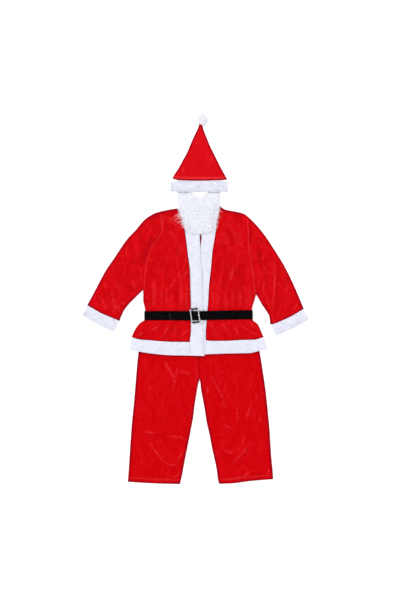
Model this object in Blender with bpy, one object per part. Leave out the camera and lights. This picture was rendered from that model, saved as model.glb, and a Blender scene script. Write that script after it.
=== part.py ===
"""A Santa suit laid flat on the floor: jacket, trousers, belt with buckle, hat and beard.

Metres, +Z up, floor at z = 0. The origin is on the floor at the jacket's centre line, level with the
armpits. +Y runs to the hat, and -X is the wearer's right. Each cut piece of cloth is its own solid: a
grid of points gives the side that faces out, a second one the side that faces in, and what lies on
something takes its heights from what is under it. Run it with blender --background --python part.py
"""

import math

import bmesh
import bpy
import numpy as np
from mathutils import Matrix, Vector
from mathutils.bvhtree import BVHTree

# Walls and gaps.
VELOUR = 0.0016
FLEECE = 0.0042
FLEECE_EDGE = 0.0020
LEATHERETTE = 0.0015
SEAM_GAP = 0.0003
LAYER_GAP = 0.0004

# How far cloth stands off the layer under it, and how soon it rises from the outline.
LOFT = 0.0030
LOFT_RUN = 0.018
HIDDEN_LOFT = 0.0010
SKIRT_LINE, SKIRT_FADE = -0.33, 0.045
PLACKET_EASE = 0.045
UNDER_BAND_LOFT = 0.3

# Bands of white fleece: the width of each placket (columns y, width), and the places across it of its
# grid lines.
PLACKET_WIDTH_RIGHT = [
    (-0.329, 0.0740), (-0.255, 0.0690), (-0.200, 0.0625), (-0.050, 0.0587), (0.125, 0.0593),
    (0.215, 0.0671), (0.275, 0.0700), (0.420, 0.0700),
]
PLACKET_WIDTH_LEFT = [(-0.329, 0.0620), (0.215, 0.0630), (0.245, 0.0640), (0.275, 0.0700), (0.420, 0.0700)]
PLACKET_LINES = np.array([0, 0.15, 0.5, 0.85, 1.0])
FLEECE_CROWN = 0.6

# Belt, buckle and prong.
BELT_WIDTH = 0.046
BELT_Y = -0.1258
BELT_SLOPE = 0.0083
BELT_RIGHT_X, BELT_LEFT_X = -0.2730, 0.2683
TAIL_X = -0.150
BELT_FOLD = 0.0022
BELT_PRESS = 0.0265
BUCKLE_X, BUCKLE_Y = -0.0200, -0.1275
BUCKLE_WIDTH, BUCKLE_HEIGHT = 0.045, 0.072
BUCKLE_BAR, BUCKLE_DEPTH = 0.0055, 0.0030
BUCKLE_TURN = math.radians(8)
BUCKLE_CORNER, BUCKLE_RIM = 0.0050, 0.0009
HOOK_CORNER = 0.0015
PRONG_WIDTH, PRONG_THICKNESS = 0.0045, 0.0022

# Pompom.
POMPOM_X, POMPOM_Y = 0.0205, 0.8490
POMPOM_HALF_WIDTH, POMPOM_HALF_LENGTH, POMPOM_HALF_HEIGHT = 0.0268, 0.0345, 0.0205
TUFT_LENGTH = 0.0075
FLOOR_CLEARANCE = 0.0005

# Beard.
BEARD_EDGE, BEARD_DEPTH = 0.0030, 0.0120
LOCK_RELIEF, LOCK_SWAY, LOCK_TIP = 0.0030, 0.0045, 0.0070
LOCKS_ACROSS = 6

# Jacket outline. Side seams and placket edges: columns y, x.
SIDE_RIGHT = [
    (-0.236, -0.3365), (-0.210, -0.3260), (-0.185, -0.3115), (-0.168, -0.2975), (-0.159, -0.2860),
    (-0.1523, -0.2690), (-0.0993, -0.2690), (-0.050, -0.2790), (0.001, -0.2790),
]
SIDE_LEFT = [
    (-0.235, 0.3240), (-0.225, 0.3180), (-0.193, 0.3045), (-0.175, 0.2960), (-0.160, 0.2810),
    (-0.1523, 0.2645), (-0.0993, 0.2640), (-0.050, 0.2775), (-0.022, 0.2850),
]
PLACKET_RIGHT = [
    (-0.329, -0.047), (-0.255, -0.045), (-0.200, -0.040), (-0.100, -0.040), (0.030, -0.0435),
    (0.090, -0.045), (0.170, -0.055), (0.290, -0.070), (0.335, -0.078), (0.375, -0.090), (0.408, -0.109),
]
PLACKET_LEFT = [
    (-0.3235, 0.0345), (-0.210, 0.0340), (-0.150, 0.0385), (-0.050, 0.046), (0.030, 0.051),
    (0.110, 0.060), (0.190, 0.067), (0.270, 0.080), (0.350, 0.090), (0.390, 0.100), (0.4195, 0.104),
]

# The other seams and edges: columns x, y.
SHOULDER_RIGHT = [(-0.200, 0.3905), (-0.150, 0.4015), (-0.109, 0.408)]
SHOULDER_LEFT = [(0.104, 0.4195), (0.130, 0.4025), (0.190, 0.3905), (0.225, 0.3805), (0.246, 0.366)]
NECKLINE = [(-0.109, 0.408), (-0.060, 0.399), (0.0, 0.396), (0.060, 0.402), (0.104, 0.4195)]
ARMHOLE_RIGHT = [
    (-0.200, 0.3905), (-0.190, 0.320), (-0.200, 0.275), (-0.228, 0.240), (-0.253, 0.187),
    (-0.272, 0.110), (-0.279, 0.001),
]
ARMHOLE_LEFT = [
    (0.246, 0.366), (0.251, 0.290), (0.253, 0.220), (0.262, 0.160), (0.276, 0.080), (0.285, -0.022),
]
OUTER_ARM_RIGHT = [
    (-0.200, 0.3905), (-0.2215, 0.3835), (-0.2675, 0.355), (-0.3185, 0.297), (-0.3595, 0.2535),
    (-0.4205, 0.1645), (-0.4715, 0.088), (-0.5125, 0.011), (-0.5585, -0.0755),
]
OUTER_ARM_LEFT = [
    (0.246, 0.366), (0.2825, 0.330), (0.3285, 0.274), (0.3745, 0.205), (0.4305, 0.1135),
    (0.4765, 0.019), (0.524, -0.0935),
]
UNDERARM_RIGHT = [
    (-0.279, 0.001), (-0.3215, -0.041), (-0.3510, -0.071), (-0.3740, -0.101), (-0.3885, -0.131),
    (-0.3975, -0.1545),
]
UNDERARM_LEFT = [
    (0.285, -0.022), (0.2960, -0.040), (0.3130, -0.070), (0.3335, -0.101), (0.3505, -0.130),
    (0.3565, -0.1725),
]
CUFF_SEAM_RIGHT = [
    (-0.5585, -0.0755), (-0.511, -0.1035), (-0.480, -0.1200), (-0.449, -0.1330), (-0.3975, -0.1545),
]
CUFF_SEAM_LEFT = [
    (0.524, -0.0935), (0.475, -0.1235), (0.4395, -0.1420), (0.4035, -0.1580), (0.3785, -0.1680),
    (0.3565, -0.1725),
]
CUFF_RIGHT = [(-0.590, -0.1265), (-0.508, -0.1715), (-0.4255, -0.2135)]
CUFF_LEFT = [(0.552, -0.1495), (0.470, -0.194), (0.3845, -0.231)]
HEM_SEAM_RIGHT = [
    (-0.3365, -0.236), (-0.295, -0.247), (-0.235, -0.252), (-0.175, -0.257), (-0.115, -0.259),
    (-0.045, -0.2595),
]
HEM_SEAM_LEFT = [
    (0.0344, -0.251), (0.065, -0.254), (0.125, -0.254), (0.215, -0.2495), (0.275, -0.248), (0.324, -0.235),
]
HEM_RIGHT = [
    (-0.353, -0.2975), (-0.325, -0.305), (-0.295, -0.310), (-0.235, -0.319), (-0.175, -0.325),
    (-0.115, -0.328), (-0.047, -0.329),
]
HEM_LEFT = [
    (0.0345, -0.3235), (0.065, -0.321), (0.185, -0.318), (0.245, -0.317), (0.305, -0.305), (0.344, -0.295),
]

# Trousers: columns y, x, and x, y for the hems from the outer side. The waist is under the jacket.
WAIST_TOP, WAIST_SEAM = -0.060, -0.095
WAIST_DRAWN_IN = np.array([0.004, 0.0])
CENTRE_SEAM, CROTCH = 0.0025, -0.441
OUTER_LEG_RIGHT = [
    (-0.9585, -0.3560), (-0.875, -0.3500), (-0.775, -0.3435), (-0.660, -0.3350), (-0.560, -0.3250),
    (-0.440, -0.3150), (-0.330, -0.3050), (-0.250, -0.2920), (-0.160, -0.2620), (-0.095, -0.2125),
]
INNER_LEG_RIGHT = [
    (-0.970, -0.0950), (-0.925, -0.0850), (-0.850, -0.0710), (-0.775, -0.0560), (-0.700, -0.0410),
    (-0.625, -0.0275), (-0.580, -0.0225), (-0.550, -0.0180), (-0.510, -0.0115), (-0.470, -0.0045),
    (-0.441, 0.0025), (-0.095, 0.0025),
]
OUTER_LEG_LEFT = [
    (-0.945, 0.3710), (-0.900, 0.3680), (-0.850, 0.3630), (-0.775, 0.3575), (-0.700, 0.3530),
    (-0.630, 0.3465), (-0.540, 0.3375), (-0.490, 0.3315), (-0.425, 0.3220), (-0.330, 0.3070),
    (-0.250, 0.2900), (-0.160, 0.2630), (-0.095, 0.2175),
]
INNER_LEG_LEFT = [
    (-0.9685, 0.1010), (-0.950, 0.0950), (-0.900, 0.0885), (-0.850, 0.0785), (-0.775, 0.0620),
    (-0.725, 0.0530), (-0.675, 0.0410), (-0.575, 0.0245), (-0.525, 0.0150), (-0.495, 0.0095),
    (-0.470, 0.0075), (-0.441, 0.0025), (-0.095, 0.0025),
]
LEG_HEM_RIGHT = [(-0.356, -0.9585), (-0.215, -0.9665), (-0.095, -0.970)]
LEG_HEM_LEFT = [(0.371, -0.945), (0.255, -0.955), (0.165, -0.966), (0.101, -0.9685)]

# Hat: columns y, x for its edges; x, y for the rest.
HAT_RIGHT = [
    (0.5565, -0.1330), (0.570, -0.1270), (0.610, -0.1015), (0.650, -0.0800), (0.690, -0.0580),
    (0.730, -0.0415), (0.770, -0.0240), (0.810, -0.0050), (0.829, 0.0010),
]
HAT_LEFT = [
    (0.5520, 0.1415), (0.570, 0.1325), (0.610, 0.1100), (0.650, 0.0900), (0.690, 0.0700),
    (0.730, 0.0510), (0.770, 0.0350), (0.810, 0.0200), (0.829, 0.0160),
]
HAT_BASE = [(-0.133, 0.5565), (-0.100, 0.5495), (0.0025, 0.5465), (0.100, 0.5490), (0.1415, 0.552)]
HAT_BAND_TOP = [(-0.1475, 0.5440), (-0.110, 0.5462), (0.0025, 0.5440), (0.110, 0.5455), (0.149, 0.5430)]
HAT_BAND_FOOT = [(-0.1460, 0.4900), (-0.080, 0.4885), (0.0025, 0.4880), (0.080, 0.4885), (0.1480, 0.4895)]

# Beard: columns x, y.
BEARD_TOP = [
    (-0.102, 0.497), (-0.070, 0.508), (-0.045, 0.502), (-0.030, 0.480), (0.005, 0.465),
    (0.042, 0.480), (0.057, 0.502), (0.078, 0.508), (0.101, 0.497),
]
BEARD_RIGHT = [
    (-0.062, 0.291), (-0.078, 0.325), (-0.091, 0.355), (-0.100, 0.395), (-0.103, 0.440), (-0.102, 0.497),
]
BEARD_LEFT = [
    (0.060, 0.291), (0.080, 0.312), (0.091, 0.345), (0.100, 0.385), (0.103, 0.440), (0.101, 0.497),
]
BEARD_FOOT = [(-0.062, 0.291), (-0.035, 0.279), (0.0, 0.276), (0.035, 0.279), (0.060, 0.291)]

COLLAR_TOP = [(-0.080, 0.460), (0.0, 0.452), (0.080, 0.466)]

# Folds that stand out as ridges, or as troughs where the rise is negative: columns x1, y1, x2, y2,
# half width, rise.
JACKET_FOLDS = [
    (-0.435, 0.010, -0.403, -0.125, 0.018, 0.0050),
    (-0.330, 0.055, -0.308, 0.005, 0.018, 0.0045),
    (-0.262, 0.230, -0.275, 0.120, 0.020, -0.0025),
    (-0.470, 0.030, -0.440, 0.060, 0.022, 0.0025),
    (0.374, 0.145, 0.381, 0.000, 0.018, 0.0055),
    (0.381, 0.000, 0.362, -0.120, 0.018, 0.0060),
    (0.398, 0.070, 0.396, -0.130, 0.016, -0.0028),
    (0.326, 0.055, 0.320, 0.000, 0.018, 0.0045),
    (0.266, 0.300, 0.262, 0.200, 0.020, 0.0030),
    (-0.120, 0.062, -0.142, 0.005, 0.018, 0.0045),
    (0.171, 0.112, 0.154, 0.045, 0.020, 0.0035),
    (-0.045, -0.188, -0.100, -0.240, 0.017, 0.0060),
    (-0.150, -0.170, -0.195, -0.242, 0.018, 0.0040),
    (-0.195, -0.172, -0.250, -0.212, 0.018, 0.0045),
    (-0.262, -0.195, -0.312, -0.231, 0.016, 0.0045),
    (0.052, -0.168, 0.088, -0.226, 0.018, 0.0045),
    (0.110, -0.165, 0.165, -0.222, 0.018, 0.0055),
    (0.205, -0.172, 0.285, -0.226, 0.018, 0.0055),
]
TROUSER_FOLDS = [
    (-0.190, -0.330, -0.125, -0.447, 0.020, 0.0055),
    (-0.110, -0.395, -0.120, -0.460, 0.020, 0.0040),
    (-0.272, -0.705, -0.065, -0.742, 0.020, 0.0050),
    (-0.250, -0.750, -0.155, -0.872, 0.020, 0.0055),
    (-0.065, -0.800, -0.118, -0.866, 0.019, 0.0050),
    (-0.092, -0.905, -0.130, -0.940, 0.018, 0.0040),
    (-0.022, -0.395, -0.045, -0.610, 0.018, 0.0030),
    (0.060, -0.430, 0.130, -0.590, 0.020, 0.0055),
    (0.190, -0.590, 0.190, -0.662, 0.020, 0.0035),
    (0.265, -0.575, 0.238, -0.642, 0.020, 0.0040),
    (0.122, -0.672, 0.178, -0.694, 0.019, 0.0045),
    (0.104, -0.783, 0.158, -0.811, 0.019, 0.0055),
    (0.252, -0.762, 0.168, -0.868, 0.020, 0.0060),
    (0.298, -0.820, 0.304, -0.868, 0.018, -0.0022),
    (0.218, -0.932, 0.268, -0.888, 0.019, 0.0045),
]
HAT_FOLDS = [
    (-0.115, 0.560, 0.120, 0.560, 0.012, 0.0018),
    (-0.078, 0.575, -0.092, 0.615, 0.016, 0.0022),
    (0.062, 0.640, 0.050, 0.580, 0.018, 0.0020),
]

# Gathers over the belt, one ridge for each second column of a front.
GATHER_RISE = 0.0022
GATHER_UP, GATHER_DOWN = 0.085, 0.045

# Grid lines: fractions along each piece.
ARM_LINES = [0.0, 0.10, 0.20, 0.31, 0.42, 0.53, 0.64, 0.75, 0.87, 1.0]
ARM_FLOOR_LINES = [0.0, 0.20, 0.42, 0.64, 0.87, 1.0]
BACK_LINES = np.array([0, 0.10, 0.25, 0.5, 0.75, 1.0])
NECK_LINES = np.linspace(0, 1, 6)
SHOULDER_LINES = np.array([0, 0.33, 0.66])
BACK_CELLS, FRONT_CELLS = (3, 1, 4), (4, 2, 5)
LEG_LINES, LEG_FLOOR_LINES = np.linspace(0, 1, 11), np.linspace(0, 1, 5)
FOLD_INSET = 0.0045

# The floor squares that a pile is kept on.
RASTER = 0.005
PILE_LOW, PILE_HIGH = (-0.64, -1.02), (0.60, 0.92)


# Curves and grids

def between(at, knots, values):
    """Values read at the places `at`, smooth through a table and never beyond its own range."""
    at, knots, values = (np.asarray(numbers, float) for numbers in (at, knots, values))
    step = np.diff(knots)
    secant = np.diff(values) / step
    same_way = secant[:-1] * secant[1:] > 0
    total = np.where(same_way, secant[:-1] + secant[1:], 1.0)
    middle = np.where(same_way, 2 * secant[:-1] * secant[1:] / total, 0.0)
    slope = np.concatenate([secant[:1], middle, secant[-1:]])
    cell = np.clip(np.searchsorted(knots, at) - 1, 0, len(step) - 1)
    f = np.clip((at - knots[cell]) / step[cell], 0.0, 1.0)
    rise = step[cell] * (slope[cell] * f * (1 - f) ** 2 - slope[cell + 1] * f**2 * (1 - f))
    blend = f * f * (3 - 2 * f)
    return values[cell] * (1 - blend) + values[cell + 1] * blend + rise


def along(table, fractions):
    """Points at these fractions of the length of a smooth curve through the table."""
    points = np.array(table, float)
    run = np.concatenate([[0.0], np.cumsum(np.linalg.norm(np.diff(points, axis=0), axis=1))])
    places = np.asarray(fractions, float) * run[-1]
    return np.stack([between(places, run, points[:, 0]), between(places, run, points[:, 1])], axis=1)


def edge_at(table, heights):
    """Points of an edge given as columns y, x, at these heights."""
    rows = np.array(table, float)
    heights = np.asarray(heights, float)
    return np.stack([between(heights, rows[:, 0], rows[:, 1]), heights], axis=1)


def coons(first_row, last_row, first_column, last_column):
    """A grid of points over the area between four edges, each a list of points."""
    rows, columns = len(first_column), len(first_row)
    down = np.linalg.norm(np.diff(first_column, axis=0), axis=1)
    across = np.linalg.norm(np.diff(first_row, axis=0), axis=1)
    v = np.concatenate([[0.0], np.cumsum(down)]) / down.sum()
    u = np.concatenate([[0.0], np.cumsum(across)]) / across.sum()
    u, v = u[None, :, None], v[:, None, None]
    ruled = (1 - u) * first_column[:, None] + u * last_column[:, None]
    crossed = (1 - v) * first_row[None] + v * last_row[None]
    corners = (1 - v) * ((1 - u) * first_row[0] + u * first_row[-1])
    corners = corners + v * ((1 - u) * last_row[0] + u * last_row[-1])
    return (ruled + crossed - corners).reshape(rows, columns, 2)


def pulled_in(grid, gap=SEAM_GAP / 2):
    """The grid with its border moved in, square to itself, by half a seam's gap."""
    grid = grid.copy()
    for _ in range(4):
        edge, inside = grid[0], grid[1]
        tangent = np.gradient(edge, axis=0)
        tangent /= np.linalg.norm(tangent, axis=1)[:, None]
        inward = inside - edge
        inward -= (inward * tangent).sum(axis=1)[:, None] * tangent
        grid[0] = edge + gap * inward / np.linalg.norm(inward, axis=1)[:, None]
        grid = np.rot90(grid)
    return grid


def distance_to(outline, grid):
    """How far each point of a grid is from a closed outline."""
    start, end = outline, np.roll(outline, -1, axis=0)
    step = end - start
    points = grid.reshape(-1, 1, 2)
    share = ((points - start) * step).sum(axis=2) / np.maximum((step**2).sum(axis=1), 1e-12)
    nearest = start + np.clip(share, 0, 1)[..., None] * step
    return np.linalg.norm(points - nearest, axis=2).min(axis=1).reshape(grid.shape[:-1])


def fold_rise(folds, grid):
    """The height that a table of folds adds over a grid."""
    ridges, troughs = np.zeros(grid.shape[:-1]), np.zeros(grid.shape[:-1])
    for x1, y1, x2, y2, half_width, rise in folds:
        start, step = np.array([x1, y1]), np.array([x2 - x1, y2 - y1])
        share = ((grid - start) * step).sum(axis=-1) / (step @ step)
        nearest = start + np.clip(share, 0, 1)[..., None] * step
        off = np.linalg.norm(grid - nearest, axis=-1)
        shape = rise * np.exp(-((off / half_width) ** 2))
        ridges, troughs = np.maximum(ridges, shape), np.minimum(troughs, shape)
    return ridges + troughs


# What lies under each new piece

class Pile:
    """The highest point so far over each small square of the floor."""

    def __init__(self):
        size = (np.array(PILE_HIGH) - PILE_LOW) / RASTER
        self.heights = np.zeros(np.ceil(size).astype(int) + 1)

    def cell(self, place):
        return tuple(np.round((np.asarray(place) - PILE_LOW) / RASTER).astype(int))

    def add(self, *solids):
        for solid in solids:
            mesh = solid.data
            points = np.array([point.co for point in mesh.vertices])
            self.cover(points, [tuple(face.vertices) for face in mesh.polygons])

    def cover(self, points, faces):
        tree = BVHTree.FromPolygons(points.tolist(), faces)
        low, high = self.cell(points[:, :2].min(axis=0)), self.cell(points[:, :2].max(axis=0))
        for i in range(low[0], high[0] + 1):
            for j in range(low[1], high[1] + 1):
                x, y = np.array([i, j]) * RASTER + PILE_LOW
                hit = tree.ray_cast(Vector((x, y, 1.0)), Vector((0, 0, -1)))[0]
                if hit is not None:
                    self.heights[i, j] = max(self.heights[i, j], hit.z)
        for x, y, z in points:
            place = self.cell((x, y))
            self.heights[place] = max(self.heights[place], z)

    def under(self, low, high):
        """The height that cloth over this box rests at, clear of all that lies there."""
        (i, j), (i_end, j_end) = self.cell(np.asarray(low) - RASTER), self.cell(np.asarray(high) + RASTER)
        highest = self.heights[i:i_end + 1, j:j_end + 1].max()
        return highest + LAYER_GAP if highest > 0 else 0.0

    def rest(self, grid):
        """Resting heights for a grid, each clear of all that lies under the cells it belongs to."""
        rows, columns = grid.shape[:2]
        heights = np.zeros((rows, columns))
        for r in range(rows):
            for c in range(columns):
                near = grid[max(r - 1, 0):r + 2, max(c - 1, 0):c + 2]
                heights[r, c] = self.under(near.min(axis=(0, 1)), near.max(axis=(0, 1)))
        return heights


pile = Pile()


# Solids

def material(name, colour, roughness, metallic=0.0):
    made = bpy.data.materials.new(name)
    made.use_nodes = True
    shader = made.node_tree.nodes["Principled BSDF"]
    shader.inputs["Base Color"].default_value = (*colour, 1.0)
    shader.inputs["Roughness"].default_value = roughness
    shader.inputs["Metallic"].default_value = metallic
    return made


def shaded(name, mesh, finish):
    mesh.materials.append(finish)
    mesh.shade_smooth()
    mesh.set_sharp_from_angle(angle=math.radians(50))
    made = bpy.data.objects.new(name, mesh)
    bpy.context.scene.collection.objects.link(made)
    return made


def shell_mesh(outer, inner):
    """Points and faces of the closed solid between two grids of the same size."""
    rows, columns = outer.shape[:2]
    points = np.concatenate([outer.reshape(-1, 3), inner.reshape(-1, 3)])
    index = np.arange(rows * columns).reshape(rows, columns)
    under = index + rows * columns
    faces = []
    for r in range(rows - 1):
        for c in range(columns - 1):
            faces.append([index[r, c], index[r, c + 1], index[r + 1, c + 1], index[r + 1, c]])
            faces.append([under[r, c], under[r + 1, c], under[r + 1, c + 1], under[r, c + 1]])
    border = [(0, c) for c in range(columns)] + [(r, columns - 1) for r in range(1, rows)]
    border += [(rows - 1, c) for c in range(columns - 2, -1, -1)] + [(r, 0) for r in range(rows - 2, 0, -1)]
    for start, end in zip(border, border[1:] + border[:1]):
        faces.append([index[end], index[start], under[start], under[end]])
    faces = [[int(corner) for corner in face] for face in faces]
    triangles = np.array([[f[0], f[k], f[k + 1]] for f in faces for k in (1, 2)])
    if np.linalg.det(points[triangles]).sum() < 0:
        faces = [face[::-1] for face in faces]
    return points, faces


def cloth(name, outer, inner, finish):
    """One piece of cloth, the closed solid between two grids."""
    points, faces = shell_mesh(outer, inner)
    mesh = bpy.data.meshes.new(name)
    mesh.from_pydata(points.tolist(), [], faces)
    return shaded(name, mesh, finish)


def raised(grid, heights):
    return np.concatenate([grid, np.asarray(heights)[..., None]], axis=2)


def panel(name, grid, low, thickness, finish):
    """A single layer of cloth: its lower side at `low`, its upper side a thickness above."""
    return cloth(name, raised(grid, low + thickness), raised(grid, low), finish)


def band_thickness(rows, columns):
    """Fleece over a grid whose rows run across the band: full in the middle, thin at its two edges."""
    fullness = np.sin(np.linspace(0, math.pi, rows)) ** FLEECE_CROWN
    return np.repeat((FLEECE_EDGE + (FLEECE - FLEECE_EDGE) * fullness)[:, None], columns, axis=1)


def tube(name, upper, lower, rise, thickness, finish):
    """A flattened tube: cloth folded at its first column and seamed at its last.

    `upper` and `lower` are grids from the fold to the seam, `rise` is how far the upper layer stands
    off the lower one, and `thickness` has a value for each row.
    """
    wall = np.asarray(thickness)[:, None]
    floor_low, floor_up = pile.rest(lower), pile.rest(upper)
    edge = (upper[:, :1] + lower[:, :1]) / 2
    to_seam = upper[:, 1:2] - edge
    to_seam = to_seam / np.linalg.norm(to_seam, axis=2)[..., None]
    start = edge + FOLD_INSET * to_seam
    top = floor_up + wall + SEAM_GAP + rise
    first = np.minimum(top[:, :1], floor_up[:, :1] + wall + SEAM_GAP + LAYER_GAP)
    middle = (floor_low[:, :1] + first + wall) / 2
    outside = [
        raised(lower[:, :0:-1], floor_low[:, :0:-1]), raised(start, floor_low[:, :1]),
        raised(edge, middle), raised(start, first + wall), raised(upper[:, 1:], top[:, 1:] + wall),
    ]
    inside = [
        raised(lower[:, :0:-1], floor_low[:, :0:-1] + wall), raised(start, floor_low[:, :1] + wall),
        raised(edge + np.minimum(wall, 0.6 * FOLD_INSET)[..., None] * to_seam, middle),
        raised(start, first), raised(upper[:, 1:], top[:, 1:]),
    ]
    return cloth(name, np.concatenate(outside, axis=1), np.concatenate(inside, axis=1), finish)


# Trousers

def leg_outline():
    """The trousers' outline: up the right side, down the left, and up and down the inner legs."""
    steps = np.linspace(0, 1, 24)
    edges = []
    for table, top in ((OUTER_LEG_RIGHT, WAIST_SEAM), (OUTER_LEG_LEFT, WAIST_SEAM),
                       (INNER_LEG_LEFT, CROTCH), (INNER_LEG_RIGHT, CROTCH)):
        edges.append(edge_at(table, table[0][0] + (top - table[0][0]) * steps))
    return np.concatenate([edges[0], edges[1][::-1], edges[2], edges[3][::-1]])


def trouser_leg(name, outer_table, inner_table, hem, outline, finish):
    """One leg with its half of the seat, cut in one piece, folded at the outer side."""
    outer_y = np.linspace(outer_table[0][0], WAIST_SEAM, 25)
    share = (outer_y - outer_y[0]) / (outer_y[-1] - outer_y[0])
    inner_y = inner_table[0][0] + share * (WAIST_SEAM - inner_table[0][0])
    inner_y[np.abs(inner_y - CROTCH).argmin()] = CROTCH
    outer, inner = edge_at(outer_table, outer_y), edge_at(inner_table, inner_y)
    grids = []
    for lines in (LEG_LINES, LEG_FLOOR_LINES):
        waist_row = outer[-1] + lines[:, None] * (inner[-1] - outer[-1])
        grids.append(pulled_in(coons(along(hem, lines), waist_row, outer, inner)))
    upper, lower = grids
    shown = np.clip((SKIRT_LINE - upper[..., 1]) / SKIRT_FADE, 0, 1)
    loft = HIDDEN_LOFT + (LOFT - HIDDEN_LOFT) * shown
    loft = loft * (1 - np.exp(-distance_to(outline, upper) / LOFT_RUN))
    rise = np.maximum(loft + shown * fold_rise(TROUSER_FOLDS, upper), 0.0)
    return tube(name, upper, lower, rise, np.full(len(upper), VELOUR), finish)


def trousers(finish):
    outline = leg_outline()
    legs = [
        trouser_leg("trouser_leg_right", OUTER_LEG_RIGHT, INNER_LEG_RIGHT, LEG_HEM_RIGHT, outline, finish),
        trouser_leg("trouser_leg_left", OUTER_LEG_LEFT, INNER_LEG_LEFT, LEG_HEM_LEFT, outline, finish),
    ]
    lines = LEG_LINES[:, None]
    seam_start = edge_at(OUTER_LEG_RIGHT, [WAIST_SEAM])[0]
    seam_end = edge_at(OUTER_LEG_LEFT, [WAIST_SEAM])[0]
    seam = seam_start + lines * (seam_end - seam_start)
    top = seam + (WAIST_TOP - WAIST_SEAM) * np.array([0, 1]) + WAIST_DRAWN_IN * (1 - 2 * lines)
    grid = pulled_in(np.stack([seam, (seam + top) / 2, top]))
    rise = np.full(grid.shape[:2], HIDDEN_LOFT)
    pile.add(tube("trouser_waistband", grid, grid, rise, np.full(3, VELOUR), finish), *legs)


# Jacket

def jacket_outline():
    steps = np.linspace(0, 1, 16)
    side_right = edge_at(SIDE_RIGHT, SIDE_RIGHT[0][0] + steps * (SIDE_RIGHT[-1][0] - SIDE_RIGHT[0][0]))
    side_left = edge_at(SIDE_LEFT, SIDE_LEFT[0][0] + steps * (SIDE_LEFT[-1][0] - SIDE_LEFT[0][0]))
    return np.concatenate([
        along(HEM_RIGHT, steps), along(HEM_LEFT, steps), side_left, along(UNDERARM_LEFT, steps),
        along(CUFF_LEFT, 1 - steps), along(OUTER_ARM_LEFT, 1 - steps), along(SHOULDER_LEFT, 1 - steps),
        along(NECKLINE, 1 - steps), along(SHOULDER_RIGHT, 1 - steps), along(OUTER_ARM_RIGHT, steps),
        along(CUFF_RIGHT, steps), along(UNDERARM_RIGHT, 1 - steps), side_right[::-1],
    ])


def jacket_rise(grid, outline, folds=True):
    """How far the jacket's upper layer stands off what it lies on."""
    loft = LOFT * (1 - np.exp(-distance_to(outline, grid) / LOFT_RUN))
    from_belt = (grid[..., 1] - BELT_Y) / (0.6 * BELT_WIDTH)
    loft = loft * (1 - 0.6 * np.exp(-from_belt**2))
    if folds:
        loft = loft + fold_rise(JACKET_FOLDS, grid)
    return np.maximum(loft, 0.0)


def body_edge(side, armhole, side_heights, lines):
    """The side seam and then the armhole, as one list of points from the hem seam up."""
    return np.concatenate([edge_at(side, side_heights), along(armhole, lines)[1:]])


def side_heights(side, cells):
    """Heights up a side seam, with so many cells below the belt, under it and above it."""
    ends = [side[0][0], BELT_Y - BELT_PRESS, BELT_Y + BELT_PRESS, side[-1][0]]
    parts = [np.linspace(low, high, count + 1)[1:] for low, high, count in zip(ends, ends[1:], cells)]
    return np.concatenate([ends[:1]] + parts)


def jacket_back(finish):
    lines = ARM_FLOOR_LINES[::-1]
    right = body_edge(SIDE_RIGHT, ARMHOLE_RIGHT, side_heights(SIDE_RIGHT, BACK_CELLS), lines)
    left = body_edge(SIDE_LEFT, ARMHOLE_LEFT, side_heights(SIDE_LEFT, BACK_CELLS), lines)
    top = np.concatenate([
        along(SHOULDER_RIGHT, SHOULDER_LINES), along(NECKLINE, NECK_LINES),
        along(SHOULDER_LEFT, 1 - SHOULDER_LINES[::-1]),
    ])
    seam = hem_seam_back()
    grid = pulled_in(coons(seam, top, right, left))
    return panel("jacket_back", grid, pile.rest(grid), np.full(grid.shape[:2], VELOUR), finish)


def hem_seam_back():
    return np.concatenate([along(HEM_SEAM_RIGHT, BACK_LINES), along(HEM_SEAM_LEFT, 1 - BACK_LINES[::-1])])


def front_lines():
    """Columns of a front, from its side seam to its placket: twelve cells, one gather to each pair."""
    return np.concatenate([[0, 0.06], np.linspace(0.14, 1.0, 11)])


def fronts_grid(side, armhole, shoulder, placket, hem_seam, hem, right):
    """Grids of a front and of its hem band, both from the side seam to the placket."""
    edge = body_edge(side, armhole, side_heights(side, FRONT_CELLS), ARM_LINES[::-1])
    share = (edge[:, 1] - edge[0, 1]) / (edge[-1, 1] - edge[0, 1])
    seam_y = hem_seam[-1][1] if right else hem_seam[0][1]
    placket_edge = edge_at(placket, seam_y + share * (placket[-1][0] - seam_y))
    lines = front_lines()
    order = lines if right else 1 - lines
    seam, foot = along(hem_seam, order), along(hem, order)
    front = coons(seam, along(shoulder, order), edge, placket_edge)
    steps = np.linspace(1, 0, 4)[:, None]
    side_edge, inner_edge = foot[0] + steps * (seam[0] - foot[0]), foot[-1] + steps * (seam[-1] - foot[-1])
    band = coons(seam, foot, side_edge, inner_edge)[::-1]
    return pulled_in(front), pulled_in(band)


def placket_grid(front, band, widths, toward):
    """A placket's grid beside a front and its hem band, from that edge to its own width away."""
    edge = np.concatenate([band[:-1, -1], front[:, -1]])
    edge[:, 0] += toward * SEAM_GAP / 2
    tangent = np.gradient(edge, axis=0)
    tangent /= np.linalg.norm(tangent, axis=1)[:, None]
    normal = toward * np.stack([tangent[:, 1], -tangent[:, 0]], axis=1)
    across = edge_at(widths, edge[:, 1])[:, :1] * PLACKET_LINES
    return pulled_in(edge[:, None] + across[..., None] * normal[:, None])


def placket_thickness(grid):
    """Full along the middle of a placket, thin at its edges, and pressed flat under the belt."""
    fullness = np.sin(PLACKET_LINES * math.pi) ** FLEECE_CROWN
    pressed = np.exp(-(((grid[..., 1] - BELT_Y) / (0.75 * BELT_WIDTH)) ** 4))
    return FLEECE_EDGE + (FLEECE - FLEECE_EDGE) * fullness[None] * (1 - 0.9 * pressed)


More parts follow.
